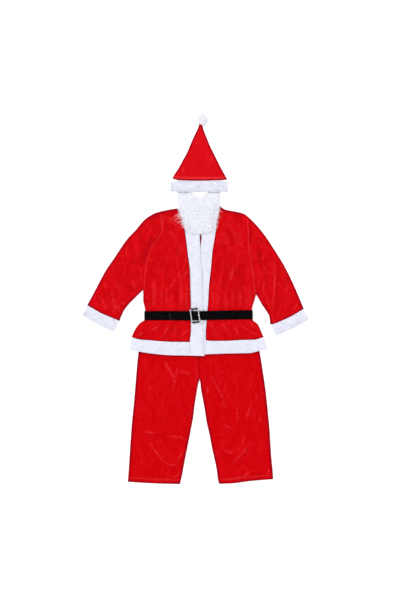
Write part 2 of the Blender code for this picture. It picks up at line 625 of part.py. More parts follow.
def gathers(grid):
    """Ridges over each second column, highest at the belt."""
    above = np.maximum(grid[..., 1] - BELT_Y, 0) / GATHER_UP
    below = np.maximum(BELT_Y - grid[..., 1], 0) / GATHER_DOWN
    second = np.arange(grid.shape[1]) % 2
    return GATHER_RISE * np.exp(-above**2 - below**2) * second


def strip(name, foot, head, finish):
    """A fleece strip between two edges, resting on what is there."""
    steps = np.linspace(0, 1, 4)[:, None, None]
    grid = pulled_in(foot[None] + steps * (head - foot)[None])
    return panel(name, grid, pile.rest(grid), band_thickness(4, len(foot)), finish)


def level_with(placket_low, grid, low):
    """Heights of a front or its hem band raised towards the placket, to meet it at their seam."""
    step_up = np.maximum(placket_low - low[:, -1], 0.0)
    from_placket = np.linalg.norm(grid - grid[:, -1:], axis=2)
    return low + step_up[:, None] * np.exp(-((from_placket / PLACKET_EASE) ** 2))


def jacket_body(arms, outline, velour, fleece):
    hem = np.concatenate([along(HEM_RIGHT, BACK_LINES), along(HEM_LEFT, 1 - BACK_LINES[::-1])])
    pile.add(
        jacket_back(velour),
        strip("hem_band_back", hem, hem_seam_back(), fleece),
        strip("collar_band", along(NECKLINE, NECK_LINES), along(COLLAR_TOP, NECK_LINES), fleece),
    )
    left = SIDE_LEFT, ARMHOLE_LEFT, SHOULDER_LEFT, PLACKET_LEFT, HEM_SEAM_LEFT, HEM_LEFT
    right = SIDE_RIGHT, ARMHOLE_RIGHT, SHOULDER_RIGHT, PLACKET_RIGHT, HEM_SEAM_RIGHT, HEM_RIGHT
    fronts = {"left": fronts_grid(*left, False), "right": fronts_grid(*right, True)}
    plackets, lows = {}, {}
    for side, (front, band) in fronts.items():
        lows[side] = (
            pile.rest(front) + jacket_rise(front, outline) + gathers(front),
            pile.rest(band) + jacket_rise(band, outline, folds=False),
        )
        if side == "right":
            plackets[side] = placket_grid(front, band, PLACKET_WIDTH_RIGHT, 1)
        else:
            plackets[side] = placket_grid(front, band, PLACKET_WIDTH_LEFT, -1)
    made = []
    for side in ("left", "right"):
        (front, band), (front_low, band_low) = fronts[side], lows[side]
        loft = 1.0 if side == "left" else UNDER_BAND_LOFT
        low = pile.rest(plackets[side]) + loft * jacket_rise(plackets[side], outline, folds=False)
        front_low = level_with(low[len(band) - 1:, 0], front, front_low)
        band_low = level_with(low[:len(band), 0], band, band_low)
        placket = panel("placket_" + side, plackets[side], low, placket_thickness(plackets[side]), fleece)
        pile.add(placket)
        made += [
            panel("jacket_front_" + side, front, front_low, np.full(front.shape[:2], VELOUR), velour),
            panel("hem_band_front_" + side, band, band_low, band_thickness(*band.shape[:2]), fleece),
        ]
    pile.add(*made, *arms)


def sleeve(side, upper_edge, under_edge, armhole, seam, cuff, outline, velour, fleece):
    """A sleeve and its cuff, both folded along the arm's outer edge and seamed under it."""
    down = np.linspace(0, 1, 15)
    outer, under = along(upper_edge, down), along(under_edge, down)
    sleeve_grids, cuff_grids = [], []
    for lines in (np.array(ARM_LINES), np.array(ARM_FLOOR_LINES)):
        cuff_seam = along(seam, lines)
        sleeve_grids.append(pulled_in(coons(along(armhole, lines), cuff_seam, outer, under)))
        steps = np.linspace(0, 1, 5)[:, None, None]
        cuff_grids.append(pulled_in(cuff_seam[None] + steps * (along(cuff, lines) - cuff_seam)[None]))
    upper, lower = sleeve_grids
    wall = np.full(len(upper), VELOUR)
    arm = tube("sleeve_" + side, upper, lower, jacket_rise(upper, outline), wall, velour)
    upper, lower = cuff_grids
    thickness = band_thickness(len(upper), 1)[:, 0]
    return [arm, tube("cuff_" + side, upper, lower, jacket_rise(upper, outline), thickness, fleece)]


def sleeves(outline, velour, fleece):
    right = OUTER_ARM_RIGHT, UNDERARM_RIGHT, ARMHOLE_RIGHT, CUFF_SEAM_RIGHT, CUFF_RIGHT
    left = OUTER_ARM_LEFT, UNDERARM_LEFT, ARMHOLE_LEFT, CUFF_SEAM_LEFT, CUFF_LEFT
    return sleeve("right", *right, outline, velour, fleece) + sleeve("left", *left, outline, velour, fleece)


# Belt and buckle

def belt_height(x, reach):
    """The height that the belt rests at here, clear of all that is nearer along it than reach."""
    y = BELT_Y + BELT_SLOPE * x
    return pile.under((x - reach, y - BELT_WIDTH / 2), (x + reach, y + BELT_WIDTH / 2))


def swept(path, width, thickness, centre_y, slope=0.0, turn_near=None):
    """Both sides of a strap along a path of (x, z), as grids of its two edges."""
    path = np.array(path)
    tangent = np.gradient(path, axis=0)
    tangent /= np.linalg.norm(tangent, axis=1)[:, None]
    normal = np.stack([-tangent[:, 1], tangent[:, 0]], axis=1)
    turned = 0.0 if turn_near is None else np.exp(-((path[:, 0] - turn_near) / 0.05) ** 4)
    sides = []
    for way in (1, -1):
        line = path + way * np.asarray(thickness)[..., None] / 2 * normal
        rows = []
        for edge in (-1, 1):
            across = edge * np.asarray(width) / 2
            x = line[:, 0] - math.tan(BUCKLE_TURN) * across * turned
            rows.append(np.stack([x, centre_y + slope * line[:, 0] + across, line[:, 1]], axis=1))
        sides.append(np.array(rows))
    return sides


def belt_strap_sides(path):
    return swept(path, BELT_WIDTH, LEATHERETTE, BELT_Y, BELT_SLOPE, BUCKLE_X)


def belt_back_path():
    """The run behind the jacket, from the wearer's right to the left."""
    xs = np.linspace(BELT_RIGHT_X + 3 * BELT_FOLD, BELT_LEFT_X - 3 * BELT_FOLD, 22)
    return [(x, belt_height(x, 0.026) + LEATHERETTE / 2) for x in xs]


def belt_front_path(back, base):
    """The whole strap: its fixed end round the centre bar, behind the jacket, and back over to the tail."""
    half = LEATHERETTE / 2
    strap = LEATHERETTE + LAYER_GAP
    bar = base + 2 * strap + LAYER_GAP
    hook_low, hook_high = bar - strap + half, bar + BUCKLE_DEPTH + LAYER_GAP + half
    hook_x = BUCKLE_BAR / 2 + LAYER_GAP + 2 * half
    corner = HOOK_CORNER

    def rest(x):
        near = abs(x - BUCKLE_X) < 0.75 * BUCKLE_WIDTH
        return (base if near else belt_height(x, 0.022)) + half

    hook = [(-0.003, hook_high), (hook_x - corner, hook_high), (hook_x, hook_high - corner),
            (hook_x, hook_low + corner), (hook_x - corner, hook_low), (-0.003, hook_low),
            (-0.0095, base + half + 0.0006), (-0.0135, base + half)]
    path = [(BUCKLE_X + x, z) for x, z in hook]
    tail = np.linspace(BUCKLE_X - 0.0190, TAIL_X, 8)
    fixed = np.concatenate([tail, np.linspace(TAIL_X, BELT_RIGHT_X + 2 * BELT_FOLD, 8)[1:]])
    path += [(x, rest(x)) for x in fixed]
    path += belt_fold(BELT_RIGHT_X + half, path[-1][1], back[0][1], 1)
    path += back
    free = np.linspace(BELT_LEFT_X - 2 * BELT_FOLD, BUCKLE_X + 0.0160, 15)
    path += belt_fold(BELT_LEFT_X - half, rest(free[0]), back[-1][1], -1)[::-1]
    path += [(x, rest(x)) for x in free]
    over = hook_high + strap
    crossing = [(0.0135, base + half + 0.0012), (0.0078, over - 0.0014), (0.0052, over), (-0.0035, over),
                (-0.0065, over - 0.0012), (-0.0130, base + strap + half + 0.0010)]
    path += [(BUCKLE_X + x, z) for x, z in crossing]
    path += [(x, rest(x) + strap) for x in tail]
    return path, bar, over


def belt_fold(edge, high, low, inward):
    """Points round a fold at the jacket's side, from its upper run to its lower one."""
    turn = np.linspace(0, math.pi, 7)
    return [
        (edge + inward * BELT_FOLD * (1 - math.sin(t)), (high + low) / 2 + (high - low) / 2 * math.cos(t))
        for t in turn
    ]


def buckle_frame(bar, finish):
    """A cast frame with a centre bar, its edges rounded."""
    half_width, half_height = BUCKLE_WIDTH / 2, BUCKLE_HEIGHT / 2
    xs = [-half_width, -half_width + BUCKLE_BAR, -BUCKLE_BAR / 2, BUCKLE_BAR / 2, half_width - BUCKLE_BAR,
          half_width]
    ys = [-half_height, -half_height + BUCKLE_BAR, half_height - BUCKLE_BAR, half_height]
    bm = bmesh.new()
    corners = [[bm.verts.new((x, y, 0)) for x in xs] for y in ys]
    for r in range(3):
        for c in range(5):
            if r == 1 and c in (1, 3):
                continue
            bm.faces.new([corners[r][c], corners[r][c + 1], corners[r + 1][c + 1], corners[r + 1][c]])
    top = bmesh.ops.extrude_face_region(bm, geom=bm.faces[:])["geom"]
    risen = [thing for thing in top if isinstance(thing, bmesh.types.BMVert)]
    bmesh.ops.translate(bm, verts=risen, vec=(0, 0, BUCKLE_DEPTH))
    bmesh.ops.recalc_face_normals(bm, faces=bm.faces)
    reach = half_width + half_height - BUCKLE_RIM
    upright = [
        edge for edge in bm.edges
        if abs(edge.verts[0].co.z - edge.verts[1].co.z) > BUCKLE_DEPTH / 2
        and all(abs(v.co.x) + abs(v.co.y) > reach for v in edge.verts)
    ]
    bmesh.ops.bevel(bm, geom=upright, offset=BUCKLE_CORNER, segments=3, affect="EDGES", profile=0.5)
    rim = [
        edge for edge in bm.edges
        if min(v.co.z for v in edge.verts) > BUCKLE_DEPTH / 2 and edge.calc_face_angle(0) > math.radians(60)
    ]
    bmesh.ops.bevel(bm, geom=rim, offset=BUCKLE_RIM, segments=1, affect="EDGES", profile=0.5)
    mesh = bpy.data.meshes.new("buckle_frame")
    bm.to_mesh(mesh)
    bm.free()
    frame = shaded("buckle_frame", mesh, finish)
    frame.location = (BUCKLE_X, BUCKLE_Y, bar)
    frame.rotation_euler.z = BUCKLE_TURN


def buckle_prong(bar, over, finish):
    """The prong, from on the strap over the centre bar to on the right bar."""
    strap_top = over + LEATHERETTE / 2 + LAYER_GAP + PRONG_THICKNESS / 2
    bar_top = bar + BUCKLE_DEPTH + LAYER_GAP + PRONG_THICKNESS / 2
    end = BUCKLE_WIDTH / 2
    path = [(-0.0045, strap_top), (0.0, strap_top), (0.0075, strap_top - 0.0002),
            (end - 0.0060, bar_top + 0.0003), (end - 0.0025, bar_top), (end, bar_top)]
    width = PRONG_WIDTH * np.array([0.9, 1, 0.95, 0.8, 0.7, 0.45])
    outer, inner = swept(path, width, PRONG_THICKNESS, 0.0)
    prong = cloth("buckle_prong", outer, inner, finish)
    prong.location = (BUCKLE_X, BUCKLE_Y, 0)
    prong.rotation_euler.z = BUCKLE_TURN


# Beard

def beard(finish):
    """A crowned fleece of wavy locks, notched at the mouth, on the collar and the chest."""
    columns, rows = 3 * LOCKS_ACROSS + 1, 19
    u, v = np.linspace(0, 1, columns), np.linspace(0, 1, rows)
    grid = coons(along(BEARD_FOOT, u), along(BEARD_TOP, u), along(BEARD_RIGHT, v), along(BEARD_LEFT, v))
    inside_u, inside_v = np.sin(math.pi * u)[None], np.sin(math.pi * v)[:, None]
    sway = LOCK_SWAY * np.sin(2 * math.pi * (2.1 * v[:, None] + 1.3 * u[None]))
    grid[..., 0] += sway * inside_u * inside_v
    ridge = np.array([0.0, 1.0, 0.45])[np.arange(columns) % 3]
    grid[0, :, 1] += LOCK_TIP * (0.5 - ridge) * np.sin(math.pi * u)
    side_tip = LOCK_TIP * np.array([-0.13, 0.43, -0.13])[np.arange(rows) % 3] * np.sin(math.pi * v)
    grid[:, 0, 0] -= side_tip
    grid[:, -1, 0] += side_tip
    crown = inside_u**0.7 * np.minimum(1, v[:, None] / 0.18) ** 0.6
    crown = crown * (1 - np.clip((v[:, None] - 0.55) / 0.45, 0, 1) ** 1.5)
    relief = LOCK_RELIEF * ridge[None] * (0.75 + 0.25 * np.sin(2 * math.pi * (3 * v[:, None] + 2 * u[None])))
    thickness = BEARD_EDGE + BEARD_DEPTH * crown + relief * (0.25 + 0.75 * crown)
    pile.add(panel("beard", grid, pile.rest(grid), thickness, finish))


# Hat

def hat_outline():
    steps = np.linspace(0, 1, 16)
    rows = HAT_LEFT[0][0] + steps * (HAT_LEFT[-1][0] - HAT_LEFT[0][0])
    right = edge_at(HAT_RIGHT, HAT_RIGHT[0][0] + steps * (HAT_RIGHT[-1][0] - HAT_RIGHT[0][0]))
    return np.concatenate([along(HAT_BAND_FOOT, steps), edge_at(HAT_LEFT, rows), right[::-1]])


def hat_rise(grid):
    loft = LOFT * (1 - np.exp(-distance_to(hat_outline(), grid) / LOFT_RUN))
    return np.maximum(loft + fold_rise(HAT_FOLDS, grid), 0.0)


def hat(velour, fleece):
    lines, rows = np.linspace(0, 1, 11), np.linspace(0, 1, 13) ** 1.1
    right = edge_at(HAT_RIGHT, HAT_RIGHT[0][0] + rows * (HAT_RIGHT[-1][0] - HAT_RIGHT[0][0]))
    left = edge_at(HAT_LEFT, HAT_LEFT[0][0] + rows * (HAT_LEFT[-1][0] - HAT_LEFT[0][0]))
    tip = right[-1] + lines[:, None] * (left[-1] - right[-1])
    cone = pulled_in(coons(along(HAT_BASE, lines), tip, right, left))
    steps = np.linspace(0, 1, 5)[:, None, None]
    foot, head = along(HAT_BAND_FOOT, lines), along(HAT_BAND_TOP, lines)
    band = pulled_in(foot[None] + steps * (head - foot)[None])
    wall = np.full(cone.shape[:2], VELOUR)
    thickness = band_thickness(5, 1)[:, 0]
    tube("hat_band", band, band, hat_rise(band), thickness, fleece)
    pile.add(panel("hat_back", cone, pile.rest(cone), wall, velour))
    panel("hat_front", cone, pile.rest(cone) + hat_rise(cone), wall, velour)


def pompom(finish):
    """A ball of tufts, each one a three-sided lock on the ball."""
    bm = bmesh.new()
    bmesh.ops.create_icosphere(bm, subdivisions=2, radius=1.0)
    core = [half - TUFT_LENGTH for half in (POMPOM_HALF_WIDTH, POMPOM_HALF_LENGTH, POMPOM_HALF_HEIGHT)]
    for vert in bm.verts:
        vert.co = Vector([vert.co[i] * core[i] for i in range(3)])
    faces = bm.faces[:]
    bmesh.ops.inset_individual(bm, faces=faces, thickness=0.0006)
    bmesh.ops.poke(bm, faces=faces, offset=TUFT_LENGTH)
    bm.transform(Matrix.Rotation(0.3, 4, "X"))
    lowest = min(vert.co.z for vert in bm.verts)
    mesh = bpy.data.meshes.new("pompom")
    bm.to_mesh(mesh)
    bm.free()
    ball = shaded("pompom", mesh, finish)
    ball.location = (POMPOM_X, POMPOM_Y, FLOOR_CLEARANCE - lowest)


def main():
    for thing in list(bpy.data.objects):
        bpy.data.objects.remove(thing, do_unlink=True)
    velour = material("velour_red", (0.665, 0.0024, 0.0052), 0.85)
    fleece = material("fleece_white", (0.823, 0.831, 0.939), 0.95)
    curls = material("beard_white", (0.823, 0.831, 0.939), 0.95)
    leatherette = material("belt_black", (0.004, 0.004, 0.005), 0.45)
    steel = material("buckle_silver", (0.62, 0.62, 0.64), 0.25, metallic=1.0)

    outline = jacket_outline()
    arms = sleeves(outline, velour, fleece)
    trousers(velour)
    back_run = belt_back_path()
    pile.cover(*shell_mesh(*belt_strap_sides(back_run)))
    jacket_body(arms, outline, velour, fleece)
    base = max(belt_height(BUCKLE_X + share * BUCKLE_WIDTH, 0.014) for share in (-0.5, 0, 0.5))
    path, bar, over = belt_front_path(back_run, base)
    cloth("belt_strap", *belt_strap_sides(path), leatherette)
    buckle_frame(bar, steel)
    buckle_prong(bar, over, steel)
    beard(curls)
    hat(velour, fleece)
    pompom(fleece)


main()
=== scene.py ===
"""The looks of a Santa suit laid flat: velour, plush trim, curly beard, leatherette belt and metal buckle.

Metres, +Z up, floor at z = 0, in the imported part's frame: +Y runs to the hat and -X is the wearer's
right. Each piece of cloth is a fine grid over its solid: the outline comes from the same tables as the
solid's, its height from the solid itself, and creases, seams and pile are added to that.
"""

import math

import bmesh
import bpy
import numpy as np
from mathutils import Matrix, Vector, noise
from mathutils.bvhtree import BVHTree


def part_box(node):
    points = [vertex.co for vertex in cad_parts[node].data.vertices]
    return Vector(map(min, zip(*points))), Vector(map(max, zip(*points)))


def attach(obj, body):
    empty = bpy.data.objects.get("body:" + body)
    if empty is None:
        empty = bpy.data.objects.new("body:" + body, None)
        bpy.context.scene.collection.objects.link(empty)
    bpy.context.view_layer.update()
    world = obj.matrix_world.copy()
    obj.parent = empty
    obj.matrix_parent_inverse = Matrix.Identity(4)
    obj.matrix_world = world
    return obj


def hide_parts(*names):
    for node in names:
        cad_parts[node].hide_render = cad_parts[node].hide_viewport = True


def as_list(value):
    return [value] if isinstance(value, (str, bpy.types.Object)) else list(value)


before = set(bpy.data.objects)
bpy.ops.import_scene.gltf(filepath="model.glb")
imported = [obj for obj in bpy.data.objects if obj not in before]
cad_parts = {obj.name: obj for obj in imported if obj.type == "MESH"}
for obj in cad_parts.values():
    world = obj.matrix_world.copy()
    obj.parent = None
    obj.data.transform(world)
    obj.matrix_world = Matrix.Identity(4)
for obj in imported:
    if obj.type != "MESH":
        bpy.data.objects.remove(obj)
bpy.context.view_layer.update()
SEED = 20


def milli(rows):
    """Rows written in thousandths, mostly millimetres, as plain numbers."""
    return [tuple(round(value / 1000, 7) for value in row) for row in rows]


# Sizes shared with the solids. Placket widths: columns y, width.
LEATHERETTE, LAYER_GAP = 0.0015, 0.0004
PLACKET_WIDTH_RIGHT = milli([
    (-329, 74), (-255, 69), (-200, 62.5), (-50, 58.7), (125, 59.3), (215, 67.1), (245, 68.7), (275, 71.6),
    (420, 71.6),
])
PLACKET_WIDTH_LEFT = milli([(-329, 62), (215, 63), (245, 64), (275, 71.2), (420, 71.2)])
BELT_Y, BELT_SLOPE = -0.1258, 0.0083
BELT_RIGHT_X, BELT_LEFT_X = -0.2730, 0.2683
TAIL_X, BELT_FOLD = -0.150, 0.0022
BUCKLE_X, BUCKLE_Y = -0.0200, -0.1275
BUCKLE_WIDTH, BUCKLE_HEIGHT = 0.045, 0.072
BUCKLE_BAR, BUCKLE_DEPTH = 0.0055, 0.0030
BUCKLE_TURN = math.radians(8)

# Jacket outline. Side seams and placket edges: columns y, x.
SIDE_RIGHT = milli([
    (-236, -336.5), (-210, -326), (-185, -311.5), (-168, -297.5), (-159, -286), (-152.3, -269),
    (-99.3, -269), (-50, -279), (1, -279),
])
SIDE_LEFT = milli([
    (-235, 324), (-225, 318), (-193, 304.5), (-175, 296), (-160, 281), (-152.3, 264.5), (-99.3, 264),
    (-50, 277.5), (-22, 285),
])
PLACKET_RIGHT = milli([
    (-329, -47), (-255, -45), (-200, -40), (-100, -40), (30, -43.5), (90, -45), (170, -55), (290, -70),
    (335, -78), (375, -90), (408, -109),
])
PLACKET_LEFT = milli([
    (-323.5, 34.5), (-210, 34), (-150, 38.5), (-50, 46), (30, 51), (110, 60), (190, 67), (270, 80),
    (350, 90), (390, 100), (419.5, 104),
])

# The other seams and edges: columns x, y.
SHOULDER_RIGHT = milli([(-200, 390.5), (-150, 401.5), (-109, 408)])
SHOULDER_LEFT = milli([(104, 419.5), (130, 402.5), (190, 390.5), (225, 380.5), (246, 366)])
NECKLINE = milli([(-109, 408), (-60, 399), (0, 396), (60, 402), (104, 419.5)])
COLLAR_TOP = milli([(-80, 460), (0, 452), (80, 466)])
ARMHOLE_RIGHT = milli([
    (-200, 390.5), (-190, 320), (-200, 275), (-228, 240), (-253, 187), (-272, 110), (-279, 1),
])
ARMHOLE_LEFT = milli([(246, 366), (251, 290), (253, 220), (262, 160), (276, 80), (285, -22)])
OUTER_ARM_RIGHT = milli([
    (-200, 390.5), (-221.5, 383.5), (-267.5, 355), (-318.5, 297), (-359.5, 253.5), (-420.5, 164.5),
    (-471.5, 88), (-512.5, 11), (-558.5, -75.5),
])
OUTER_ARM_LEFT = milli([
    (246, 366), (282.5, 330), (328.5, 274), (374.5, 205), (430.5, 113.5), (476.5, 19), (524, -93.5),
])
UNDERARM_RIGHT = milli([
    (-279, 1), (-321.5, -41), (-351, -71), (-374, -101), (-388.5, -131), (-397.5, -154.5),
])
UNDERARM_LEFT = milli([(285, -22), (296, -40), (313, -70), (333.5, -101), (350.5, -130), (356.5, -172.5)])
CUFF_SEAM_RIGHT = milli([(-558.5, -75.5), (-511, -103.5), (-480, -120), (-449, -133), (-397.5, -154.5)])
CUFF_SEAM_LEFT = milli([
    (524, -93.5), (475, -123.5), (439.5, -142), (403.5, -158), (378.5, -168), (356.5, -172.5),
])
CUFF_RIGHT = milli([(-590, -126.5), (-508, -171.5), (-425.5, -213.5)])
CUFF_LEFT = milli([(552, -149.5), (470, -194), (384.5, -231)])
HEM_SEAM_RIGHT = milli([
    (-336.5, -236), (-295, -247), (-235, -252), (-175, -257), (-115, -259), (-45, -259.5),
])
HEM_SEAM_LEFT = milli([(34.4, -251), (65, -254), (125, -254), (215, -249.5), (275, -248), (324, -235)])
HEM_RIGHT = milli([
    (-353, -297.5), (-325, -305), (-295, -310), (-235, -319), (-175, -325), (-115, -328), (-47, -329),
])
HEM_LEFT = milli([(34.5, -323.5), (65, -321), (185, -318), (245, -317), (305, -305), (344, -295)])

# Trousers: columns y, x, and x, y for the hems from the outer side. The waist is under the jacket.
WAIST_SEAM, CROTCH = -0.095, -0.441
WAIST_DRAWN_IN = 0.004
OUTER_LEG_RIGHT = milli([
    (-958.5, -356), (-875, -350), (-775, -343.5), (-660, -335), (-560, -325), (-440, -315), (-330, -305),
    (-250, -292), (-160, -262), (-95, -212.5),
])
INNER_LEG_RIGHT = milli([
    (-970, -95), (-925, -85), (-850, -71), (-775, -56), (-700, -41), (-625, -27.5), (-580, -22.5),
    (-550, -18), (-510, -11.5), (-470, -4.5), (-441, 2.5), (-95, 2.5),
])
OUTER_LEG_LEFT = milli([
    (-945, 371), (-900, 368), (-850, 363), (-775, 357.5), (-700, 353), (-630, 346.5), (-540, 337.5),
    (-490, 331.5), (-425, 322), (-330, 307), (-250, 290), (-160, 263), (-95, 217.5),
])
INNER_LEG_LEFT = milli([
    (-968.5, 101), (-950, 95), (-900, 88.5), (-850, 78.5), (-775, 62), (-725, 53), (-675, 41), (-575, 24.5),
    (-525, 15), (-495, 9.5), (-470, 7.5), (-441, 2.5), (-95, 2.5),
])
LEG_HEM_RIGHT = milli([(-356, -958.5), (-215, -966.5), (-95, -970)])
LEG_HEM_LEFT = milli([(371, -945), (255, -955), (165, -966), (101, -968.5)])

# Hat: columns y, x for its edges; x, y for the rest.
HAT_RIGHT = milli([
    (556.5, -133), (570, -127), (610, -101.5), (650, -80), (690, -58), (730, -41.5), (770, -24), (810, -5),
    (829, 1),
])
HAT_LEFT = milli([
    (552, 141.5), (570, 132.5), (610, 110), (650, 90), (690, 70), (730, 51), (770, 35), (810, 20),
    (829, 16),
])
HAT_BASE = milli([(-133, 556.5), (-100, 549.5), (2.5, 546.5), (100, 549), (141.5, 552)])
HAT_BAND_TOP = milli([(-147.5, 544), (-110, 546.2), (2.5, 544), (110, 545.5), (149, 543)])
HAT_BAND_FOOT = milli([(-146, 490), (-80, 488.5), (2.5, 488), (80, 488.5), (148, 489.5)])

# Beard: columns x, y.
BEARD_TOP = milli([
    (-106, 497), (-72, 508), (-49, 502), (-34, 481), (4, 465), (44, 481), (60, 502), (80, 508), (108, 497),
])
BEARD_RIGHT = milli([(-62, 291), (-78, 325), (-81, 350), (-93, 392), (-108.5, 440), (-106, 497)])
BEARD_LEFT = milli([(60, 291), (80, 312), (81.5, 345), (87.5, 385), (108.5, 440), (108, 497)])
BEARD_FOOT = milli([(-62, 291), (-35, 279), (0, 276), (35, 279), (60, 291)])

# Creases that show in the velour: columns half width, rise, then x, y, x, y along the crest. A negative
# rise is a trough.
SLEEVE_RIGHT_CREASES = milli([
    (7, 2.6, -435, -10, -425, -65, -405, -115), (5.5, 2.4, -420, -90, -401, -80, -400, -110),
    (5, -1.8, -408, -90, -407, -118), (6, 2, -392, -72, -380, -66, -364, -68),
    (5, -1.6, -380, -88, -378, -72), (6.5, 2.4, -330, 45, -322, 20, -310, 0), (6, -2, -340, 10, -326, -12),
    (9, 1.4, -404, 104, -392, 98, -380, 96), (8, 1.3, -358, 222, -364, 196, -365, 170),
    (8, 1.6, -468, 14, -474, 34), (7, 1.6, -345, -40, -360, -56), (11, 1, -430, 60, -400, 10, -390, -30),
    (10, 1, -300, 220, -320, 150, -330, 90), (10, 0.9, -250, 330, -280, 290, -300, 250),
    (8, 1.4, -500, -30, -478, -60, -462, -98),
])
SLEEVE_LEFT_CREASES = milli([
    (6.5, 3, 374, 140, 377.5, 60, 376.5, 0, 370, -50, 362, -105),
    (7, -2.2, 395, 120, 395, 35, 392.5, -50, 385, -125, 376, -150), (6, 2.2, 325, 45, 320, 0),
    (6, -1.8, 306, -8, 300, -35), (5.5, -1.6, 346, 35, 341, 0), (7.5, 1.6, 326, 180, 314, 150),
    (7, -1.4, 304, 190, 300, 160), (7.5, 1.8, 495, -62, 475, -96), (11, 1, 300, 290, 330, 220, 350, 150),
    (10, 1.1, 430, 70, 440, 0, 436, -70), (9, 1, 405, 130, 425, 100), (8, 1.4, 340, -50, 352, -85),
])
FRONT_RIGHT_CREASES = milli([
    (6.5, 2.4, -120, 62, -130, 35, -142, 8), (5, 1.4, -95.5, 96, -105, 66),
    (4.5, -1.4, -111, 106, -116, 88), (6, 1.4, -65, 170, -65.5, 130), (6, 1.5, -80, 60, -66, 84, -55, 100),
    (5.5, 1.2, -152, 345, -122, 330), (6, -1.3, -175, 370, -140, 376, -115, 372),
    (6.5, -1, -142, 312, -118, 296, -96, 274), (6.5, 1, -150, 298, -124, 282),
    (7, -1, -156, 252, -134, 236, -114, 210), (10, 1, -235, 180, -215, 110, -222, 50),
    (11, 0.8, -150, 200, -165, 140, -160, 90), (5, 2.6, -46, -189, -65, -209, -91, -236),
    (6, 1.8, -150, -174, -163, -200, -190, -236), (5.5, 1.8, -204, -180, -222, -191, -246, -201),
    (5.5, 2.6, -274, -209, -292, -221, -316, -235), (5, -1.6, -296, -206, -312, -220),
    (6, -1.4, -222, -215, -240, -228), (7, 1.2, -112, -176, -122, -206, -132, -232),
    (6, -1.4, -172, -202, -180, -218),
])
FRONT_LEFT_CREASES = milli([
    (6, 1.4, 110, 340, 126, 322, 145, 300), (5.5, -1.3, 150, 290, 160, 282, 166, 270),
    (6.5, -1.2, 160, 250, 150, 228, 130, 210), (7, 2, 170, 115, 166, 80, 155, 48),
    (6, -1.4, 182, 100, 180, 64), (6, 1.2, 210, 228, 212, 214), (6.5, 1, 200, 338, 204, 310),
    (11, 0.8, 225, 180, 235, 120, 228, 60), (11, 0.8, 110, 180, 120, 120, 112, 70),
    (5.5, 2, 53, -168, 70, -186, 82, -208), (5, -1.4, 66, -176, 80, -192),
    (6, 2.4, 110, -162, 130, -186, 156, -217), (5.5, -1.8, 136, -180, 146, -194, 161, -212),
    (6, 2.4, 204, -174, 250, -205, 292, -226), (5.5, -1.6, 214, -190, 240, -212),
    (6, 1.4, 254, -160, 270, -182), (7, 1.2, 175, -180, 190, -210, 200, -234),
])
GATHER_CREASES = milli([
    (4.5, -2, -242.5, 30, -243, -85), (5, 2.2, -225, 36, -224, -85), (4.8, 2, -185, 20, -186, -85),
    (4, -1.8, -172.5, 10, -173.5, -85), (4.8, 2.2, -162.5, 24, -163, -85), (4.5, 1.4, -138, -10, -137, -85),
    (4.2, -1.8, -110, 14, -110.5, -85), (5, 2.2, -87.5, 22, -88, -85), (4.8, 1.8, -62.5, 20, -63, -85),
    (4.8, 1.8, 70, 12, 71, -85), (4.8, 2, 90, -10, 90, -85), (4.2, -1.6, 110, -24, 111, -85),
    (4.8, 1.4, 132, -6, 133, -85), (4.8, 1.6, 170, 4, 169, -85), (5, 2, 207.5, -10, 208, -85),
    (4.2, -2.2, 221, -20, 221.5, -85), (4.8, 2, 236, -20, 235, -85), (4.8, 2, 257, 4, 254, -85),
])
BACK_CREASES = milli([
    (14, 0.8, -120, 300, -100, 180, -130, 60), (14, 0.8, 110, 280, 140, 150, 120, 40),
    (12, 0.8, -180, -170, -120, -200, -60, -215), (12, 0.8, 80, -165, 140, -200, 200, -220),
])
LEG_RIGHT_CREASES = milli([
    (7.5, 2.4, -185, -335, -145, -405, -121, -450, -134, -512), (6.5, 1.8, -110, -390, -117.5, -450),
    (8, 1.8, -95, -406, -70, -412, -45, -420), (5.5, -1.6, -80, -425, -66, -436),
    (6, 1.6, -10, -380, -15, -475, -25, -550, -40, -610), (6, 1.2, -40, -610, -46, -680, -55, -730),
    (7, 2.2, -276, -704, -240, -712.5, -210, -716), (6.5, -1.8, -236, -724, -205, -728, -172, -727),
    (7, 2.2, -156, -732, -110, -732.5, -64, -746),
    (6.5, 2.4, -246, -748, -234, -782, -205, -820, -176, -856, -155, -871),
    (6.5, 2.2, -155, -871, -134, -874, -108, -870), (6, 2.4, -64, -794, -94, -829, -113, -862),
    (5.5, -1.8, -104, -858, -100, -846), (6, 2.2, -94, -904, -114, -930, -146, -941),
    (12, 1, -260, -420, -245, -500, -262, -580), (12, 0.9, -180, -560, -170, -620, -185, -670),
    (11, 1, -300, -780, -285, -840, -300, -900), (11, -0.8, -90, -520, -85, -590, -100, -660),
])
